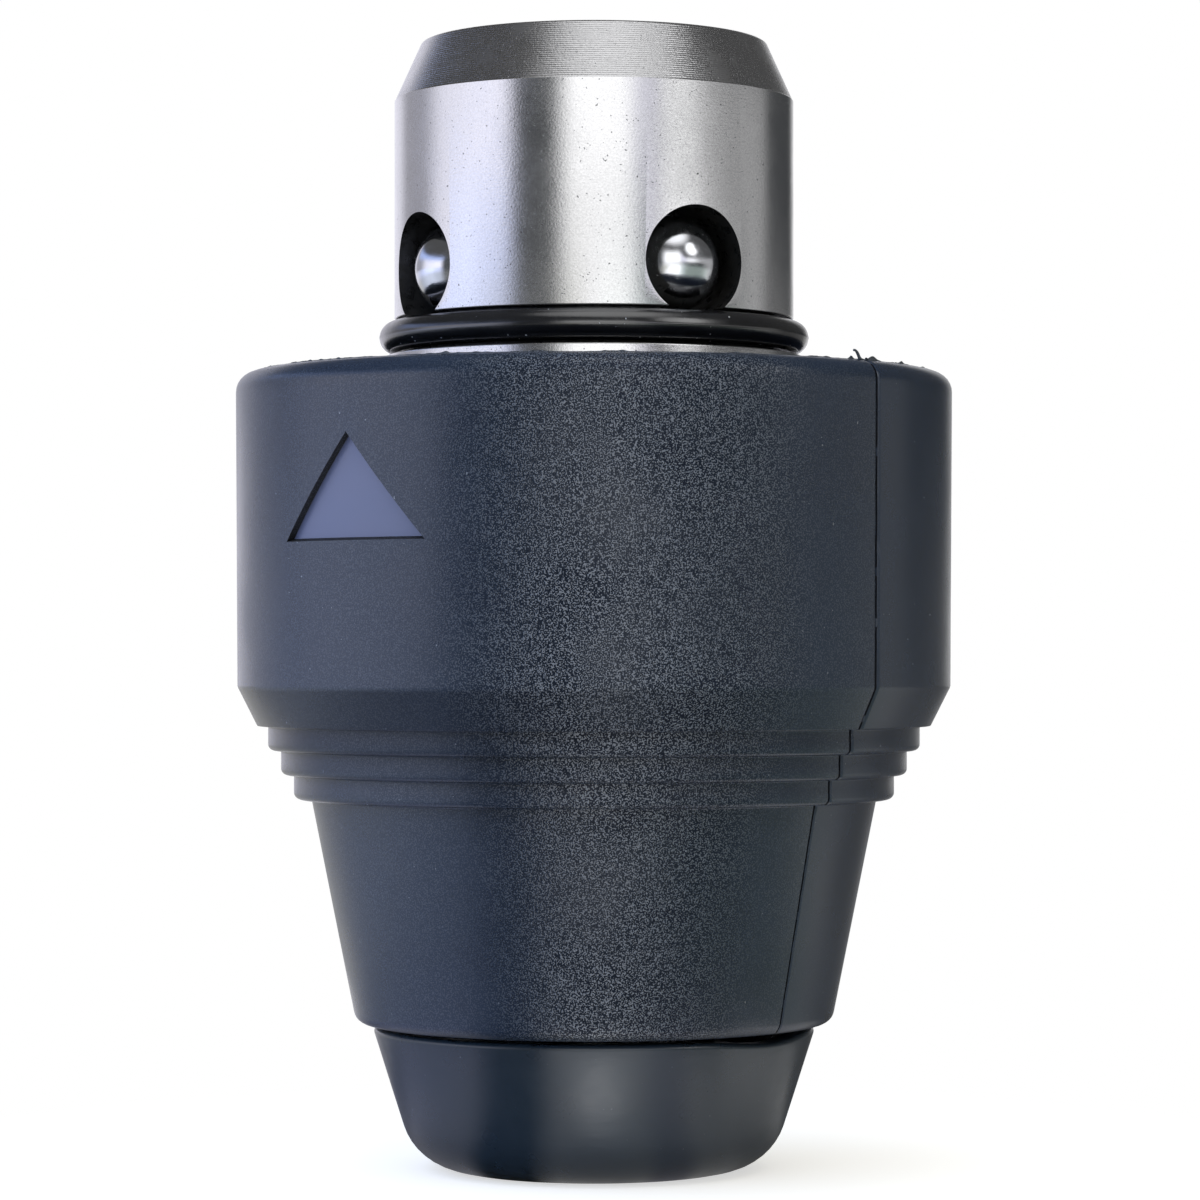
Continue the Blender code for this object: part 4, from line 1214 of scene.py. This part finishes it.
# %% [markdown]
# ## The dust cap
# A soft rubber cap snaps over the nose and keeps drilling dust out of the bore. Its front is
# rounded, its mouth narrows to a lip that wipes the shank, and a bead inside grips a groove of the
# holder. All of it is turned, so it is one outline again.

# %% Outline of the dust cap
CAP_INSET = 1.2 * MM
CAP_FACE = 1.7 * MM
CAP_WALL = 0.84 * MM
CAP_CORE = 3.0 * MM
CAP_CHAMFER = 1.8 * MM
NOSE_ROUNDING = 5.0 * MM
NOSE_TAPER = 3.35 * MM
LIP_WIDTH = 1.2 * MM
GROOVE_DEPTH = 0.85 * MM
GRIP_DROP = 1.5 * MM
GRIP_WALL = 2.05 * MM
cap_rim_radius = cone_tip - CAP_INSET
nose_z = holder_low.z
nose_radius = 8.25 * MM
bore_radius = 5.05 * MM


def cap_outline():
    """Down the outside, round the lip, and up and down the grip on the nose."""
    grip = nose_radius + SEAT_GAP
    grip_outer = grip + GRIP_WALL
    grip_top = cap_top - GRIP_DROP
    lip = bore_radius - 0.15 * MM
    base = cap_rim_radius - NOSE_TAPER
    bead = grip - GROOVE_DEPTH
    return rounded([
        (cap_rim_radius - CAP_CHAMFER, cap_top, 0.25 * MM), (cap_rim_radius, cap_top, 0.35 * MM),
        (base, 0, NOSE_ROUNDING), (lip + LIP_WIDTH, 0, 0.25 * MM), (lip, CAP_FACE / 2, 0.15 * MM),
        (lip, CAP_FACE, 0), (grip, CAP_FACE, 0), (grip, nose_z + 2.7 * MM, 0),
        (bead, nose_z + 3.0 * MM, 0.1 * MM), (bead, nose_z + 4.0 * MM, 0.1 * MM),
        (grip, nose_z + 4.3 * MM, 0), (grip, grip_top, 0.2 * MM),
        (grip_outer, grip_top, 0.3 * MM), (grip_outer, CAP_CORE, 0.4 * MM),
        (base - CAP_WALL, CAP_CORE, 0.4 * MM),
    ], 9)


print("points of the cap's outline:", len(cap_outline()))

# %% [markdown]
# Rubber is never quite true: near one side the rim has slipped down a little, which leaves a dark
# wedge under the sleeve. The push function bends it so, most at the rim and not at all at the nose.

# %% Dust cap
SLIP_ANGLE = math.radians(52 - 90)
SLIP_DEPTH = 0.42 * MM
SLIP_INWARD = 0.10 * MM
SLIP_FOOT = 6 * MM
CAP_SKIN = 12 * MM
CAP_COLUMNS = 300


def cap_push(angle, r, z, row):
    if r <= CAP_SKIN:
        return r, z
    slip = math.exp(-(wrapped(angle - SLIP_ANGLE) / 0.28) ** 2)
    slip += 0.25 * math.exp(-(wrapped(angle - SLIP_ANGLE - 2.6) / 0.5) ** 2)
    upper = max(0.0, (z - SLIP_FOOT) / (cap_top - SLIP_FOOT)) ** 2
    wave = 0.04 * MM * noise.noise((math.cos(angle) * 1.5, math.sin(angle) * 1.5, z / (6 * MM)))
    return r + wave - SLIP_INWARD * slip * upper, z - SLIP_DEPTH * slip * upper


cap = swept("rubber_dust_cap", refined(cap_outline(), 0.8 * MM), cap_rubber,
            even_columns(CAP_COLUMNS), cap_push)
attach(cap, "holder")
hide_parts("dust_cap")
print("faces of the cap:", len(cap.data.polygons))

# %% [markdown]
# ## The tool holder
# One long turned and ground bar carries everything: nose, neck, shoulder, land, the groove of the
# retaining ring, the spigot with its four ball windows, and the turned bevel at the rear. A lathe
# tool leaves a scallop at each turn, and the bevel shows about thirty of them, so its outline is a
# row of scallops instead of a straight line.

# %% Measures of the holder
RIDGE_PITCH = 0.172 * MM
RIDGE_DEPTH = 0.011 * MM
RIDGE_POINTS = 5
REAR_BEVEL_HEIGHT = 4.35 * MM
REAR_BEVEL_WIDTH = 2.0 * MM
SEAL_ROOM = 0.19 * MM
SNAP_ROOM = 0.25 * MM
NOSE_GROOVE = (2.4 * MM, 4.6 * MM)
rear_z = holder_high.z
rear_bevel_z = rear_z - REAR_BEVEL_HEIGHT
seal_z = (seal_low.z + seal_high.z) / 2
seal_section = (seal_high.z - seal_low.z) / 2
seal_orbit = seal_high.x - seal_section
groove_low = seal_z - seal_section - SEAL_ROOM
groove_high = seal_z + seal_section + SEAL_ROOM
groove_radius = seal_orbit - seal_section - SEAL_ROOM
neck_radius = 9.0 * MM
neck_z = cap_top - 1.2 * MM
socket_radius = 10.0 * MM
socket_z = shoulder_z + 3.5 * MM
print("ridges on the bevel:", round((rear_z - rear_bevel_z) / RIDGE_PITCH))

# %% [markdown]
# The outline starts with the scallops of the bevel, each an arc of five short stretches. Then it
# runs forward over the spigot, the grooves and the nose, and back through the bore and the socket.

# %% Outline of the holder
def scallops(start, end):
    """Points of a turned cone: shallow hollows with sharp crests between them."""
    along = Vector(end) - Vector(start)
    outward = Vector((-along.y, along.x)).normalized()
    count = round(along.length / RIDGE_PITCH) * RIDGE_POINTS
    points = []
    for step in range(1, count):
        depth = RIDGE_DEPTH * math.sin(math.pi * (step % RIDGE_POINTS) / RIDGE_POINTS)
        point = Vector(start) + along * step / count - outward * depth
        points.append((point.x, point.y))
    return points


def holder_outline():
    edge = (spigot_radius - 0.04 * MM, rear_bevel_z + 0.05 * MM)
    snap_top, snap_foot = snap_high.z + SNAP_ROOM, snap_low.z - SNAP_ROOM
    snap_radius = neck_radius - GROOVE_DEPTH
    cap_foot, cap_head = nose_z + NOSE_GROOVE[0], nose_z + NOSE_GROOVE[1]
    cap_groove = nose_radius - GROOVE_DEPTH
    lower = rounded([
        (spigot_radius, rear_bevel_z, 0), (spigot_radius, groove_high, 0.12 * MM),
        (groove_radius, groove_high, 0), (groove_radius, groove_low, 0),
        (land_radius, groove_low, 0.12 * MM), (land_radius, shoulder_z, 0.15 * MM),
        (neck_radius, shoulder_z, 0), (neck_radius, snap_top, 0),
        (snap_radius, snap_top, 0), (snap_radius, snap_foot, 0),
        (neck_radius, snap_foot, 0), (neck_radius, neck_z, 0.2 * MM),
        (nose_radius, neck_z, 0), (nose_radius, cap_head, 0),
        (cap_groove, cap_head, 0), (cap_groove, cap_foot, 0),
        (nose_radius, cap_foot, 0), (nose_radius, nose_z, 0.6 * MM),
        (bore_radius + 0.6 * MM, nose_z, 0), (bore_radius, nose_z + 0.6 * MM, 0),
        (bore_radius, socket_z, 0), (socket_radius, socket_z, 0),
        (socket_radius, rear_z - 0.4 * MM, 0), (socket_radius + 0.4 * MM, rear_z, 0),
        (spigot_radius - REAR_BEVEL_WIDTH, rear_z, 0.35 * MM),
    ], 4)
    return scallops(lower[-1], edge) + [edge] + lower


print("points of the holder's outline:", len(holder_outline()))

# %% [markdown]
# The windows are round holes with a conical seat at their inner end, so that a ball can't fall into
# the bore. The socket has four keyways, which line up with the spaces between the windows. Long
# slots in the neck hold the two tool balls, and two keys in the bore turn the drill.

# %% Cutters of the holder
WINDOW_RADIUS = 4.0 * MM
WINDOW_SEAT = 0.8 * MM
KEYWAY_HALF = 2.1 * MM
KEYWAY_DEPTH = 1.2 * MM
KEYWAY_START = 4.0 * MM
SLOT_HALF = 3.6 * MM
SLOT_LENGTH = 7.0 * MM
SLOT_SLOPE = 0.18
SLOT_REACH = 14 * MM
KEY_HALF = 1.5 * MM
KEY_DEPTH = 1.3 * MM
machine_balls = [f"machine_lock_ball_{index}" for index in (1, 2, 3, 4)]
tool_balls = [f"tool_lock_ball_{index}" for index in (1, 2)]


def centre_of(node):
    low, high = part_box(node)
    return (low + high) / 2


def drilled(name, heights, stages, count, material):
    """A hull of circles across the axis, at each height and for each stage of (depth, radius)."""
    return hull(name, [(depth, radius * math.cos(turn), height + radius * math.sin(turn))
                       for height in heights for depth, radius in stages
                       for turn in even_columns(count)], material)


def window_cutter(angle):
    """A round hole with a conical seat at its inner end."""
    ball = centre_of(machine_balls[0])
    stages = [(socket_radius - OVERCUT, WINDOW_RADIUS - WINDOW_SEAT),
              (math.hypot(*ball.xy) - 0.5 * MM, WINDOW_RADIUS), (spigot_radius + OVERCUT, WINDOW_RADIUS)]
    return placed(drilled("window", [0.0], stages, 96, oiled_and_shaded_wall), angle, ball.z)


def slot_cutter(angle):
    """A long slot with round ends, narrower towards the bore."""
    ball = centre_of(tool_balls[0])
    start, orbit = bore_radius / 2, abs(ball.x) - 0.1 * MM
    stages = [(start, SLOT_HALF - SLOT_SLOPE * (orbit - start)), (orbit, SLOT_HALF),
              (SLOT_REACH, SLOT_HALF)]
    return placed(drilled("slot", [ball.z, ball.z + SLOT_LENGTH], stages, 64, bore_steel), angle)


def keyway_cutter(angle):
    low = (socket_radius - OVERCUT, -KEYWAY_HALF, socket_z + KEYWAY_START)
    high = (socket_radius + KEYWAY_DEPTH, KEYWAY_HALF, rear_z + OVERCUT)
    return bar("keyway", low, high, bore_steel, angle)


def drive_key(angle):
    low = (bore_radius - KEY_DEPTH, -KEY_HALF, neck_z)
    high = (bore_radius + OVERCUT, KEY_HALF, shoulder_z)
    return bar("key", low, high, bore_steel, angle)


print("windows and slots:", len(machine_balls), len(tool_balls))

# %% [markdown]
# The keys are joined on first, and then all cutters are taken out at once. The bevel and the walls
# of the ring's groove come from the same outline as the rest, so they get their own finish by place.

# %% Tool holder
PAINT_MARGIN = 0.01 * MM
window_angles = [math.atan2(centre_of(node).y, centre_of(node).x) for node in machine_balls]


def in_seal_groove(r, z, angle):
    return (groove_low - PAINT_MARGIN < z < groove_high + PAINT_MARGIN
            and groove_radius - PAINT_MARGIN < r < spigot_radius - 0.2 * MM)


holder = swept("tool_holder", holder_outline(), ground_steel)
combine(holder, joined([drive_key(math.pi / 2), drive_key(-math.pi / 2)]), "UNION")
cutters = [window_cutter(angle) for angle in window_angles]
cutters += [keyway_cutter(angle + math.pi / 4) for angle in window_angles]
cutters += [slot_cutter(0), slot_cutter(math.pi)]
combine(holder, joined(cutters))
paint(holder, turned_steel, lambda r, z, angle: z > rear_bevel_z and r > spigot_radius - 2.6 * MM)
# The walls of the ring's groove get the same black, in part painted shade in the groove.
paint(holder, oiled_and_shaded_wall, in_seal_groove)
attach(holder, "holder")
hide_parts("holder_body")
print("faces of the holder:", len(holder.data.polygons))

# %% [markdown]
# ## The retaining ring
# A thick rubber ring in the groove below the windows holds the chuck on the machine's spindle by
# friction. It is a torus, but a moulded one: a hair-thin line of flash runs round it where the
# mould halves met, and it isn't perfectly even.

# %% Rubber ring
SEAL_POINTS = 48
SEAL_FLASH = 0.025 * MM
SEAL_WAVE = 0.025 * MM


def seal_outline():
    outline = []
    for index in range(SEAL_POINTS):
        angle = math.pi / 2 - 2 * math.pi * index / SEAL_POINTS
        radius = seal_section + (SEAL_FLASH if abs(wrapped(angle)) < 0.01 else 0.0)
        outline.append((seal_orbit + radius * math.cos(angle), seal_z + radius * math.sin(angle)))
    return outline


def seal_push(angle, r, z, row):
    return r + SEAL_WAVE * noise.noise((math.cos(angle) * 2, math.sin(angle) * 2, 7)), z


seal = smooth(swept("rubber_ring", seal_outline(), seal_rubber, push=seal_push), 70)
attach(seal, "holder")
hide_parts("retaining_o_ring")
print("faces of the ring:", len(seal.data.polygons))

# %% [markdown]
# ## The balls
# Bearing balls are perfect spheres, so an icosphere of five thousand faces is the right start. An
# icosphere has no poles, where the faces of a UV sphere would crowd together and pinch the
# reflections. Work has left flats and dents on them, so each is dented a little, by its own seed.

# %% Balls
DENT_COUNT = 14
DENT_DEPTH = 0.020 * MM
DENT_WIDTH = 0.11
BALL_FINENESS = 5


def make_ball(name, node, seed):
    low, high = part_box(node)
    centre, radius = (low + high) / 2, (high.z - low.z) / 2
    shape = bmesh.new()
    bmesh.ops.create_icosphere(shape, subdivisions=BALL_FINENESS, radius=radius)
    draw = random.Random(seed)
    dents = [Vector((draw.gauss(0, 1), draw.gauss(0, 1), draw.gauss(0, 1))).normalized()
             for _ in range(DENT_COUNT)]
    for vertex in shape.verts:
        outward = vertex.co.normalized()
        depth = sum(max(0.0, 1 - (outward - dent).length / DENT_WIDTH) for dent in dents)
        vertex.co = centre + outward * (radius - DENT_DEPTH * min(depth, 1.0))
    ball = piece_of(shape, name, ball_steel)
    ball.data.shade_smooth()
    return ball


for kind, nodes in (("machine_ball", machine_balls), ("tool_ball", tool_balls)):
    for index, node in enumerate(nodes, 1):
        ball = make_ball(f"{kind}_{index}_polished", node, seed=10 * len(nodes) + index)
        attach(ball, f"{kind}_{index}")
        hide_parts(node)
print("balls made:", len(machine_balls) + len(tool_balls))

# %% [markdown]
# ## The spring
# A conical spring presses the plate and the sleeve forward. Its wire follows a helix, whose end
# coils lie close together while the middle ones are open.
# It becomes a mesh of its own. The real spring flattens towards its rear seat as the sleeve goes back.

# %% Spring
SPRING_TURNS = 5.0
CLOSED_TURNS = 0.75
WIRE_RADIUS = 0.6 * MM
SPRING_CONE = 1.2 * MM
POINTS_PER_TURN = 60


def spring_rise(turn):
    """Height of the wire's centre above its first coil."""
    closed_pitch = 2 * WIRE_RADIUS + SEAT_GAP
    rise = spring_high.z - spring_low.z - 2 * WIRE_RADIUS
    open_turns = SPRING_TURNS - 2 * CLOSED_TURNS
    open_pitch = (rise - 2 * CLOSED_TURNS * closed_pitch) / open_turns
    middle = min(max(turn - CLOSED_TURNS, 0), open_turns)
    ends = min(turn, CLOSED_TURNS) + max(turn - CLOSED_TURNS - open_turns, 0)
    return ends * closed_pitch + middle * open_pitch


def make_spring():
    count = round(SPRING_TURNS * POINTS_PER_TURN)
    front_orbit = spring_high.x - WIRE_RADIUS
    points = []
    for index in range(count + 1):
        turn = SPRING_TURNS * index / count
        orbit = front_orbit - SPRING_CONE * index / count
        angle = 2 * math.pi * turn
        height = spring_low.z + WIRE_RADIUS + spring_rise(turn)
        points.append(((orbit * math.cos(angle), orbit * math.sin(angle), height), 1.0))
    return smooth(wire("coil_spring", points, WIRE_RADIUS, 5, spring_steel))


spring = make_spring()
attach(spring, "holder")
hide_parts("compression_spring")
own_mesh(spring)

# %% [markdown]
# ## Pieces that stay as they are
# The washers, the snap ring, the plate and the locking ring are plain turned rings and bent wire,
# hidden inside. Their solid shapes are right, so they only get a better finish in their slots.

# %% Finish of the kept pieces
kept = {name: hardened_steel for name in (
    "thrust_washer", "spring_seat_washer", "locking_ring", "ball_retaining_plate")}
kept["snap_ring"] = spring_steel
for node, material in kept.items():
    for material_slot in frame["nodes"][node].material_slots:
        material_slot.material = material
print("kept pieces:", ", ".join(kept))
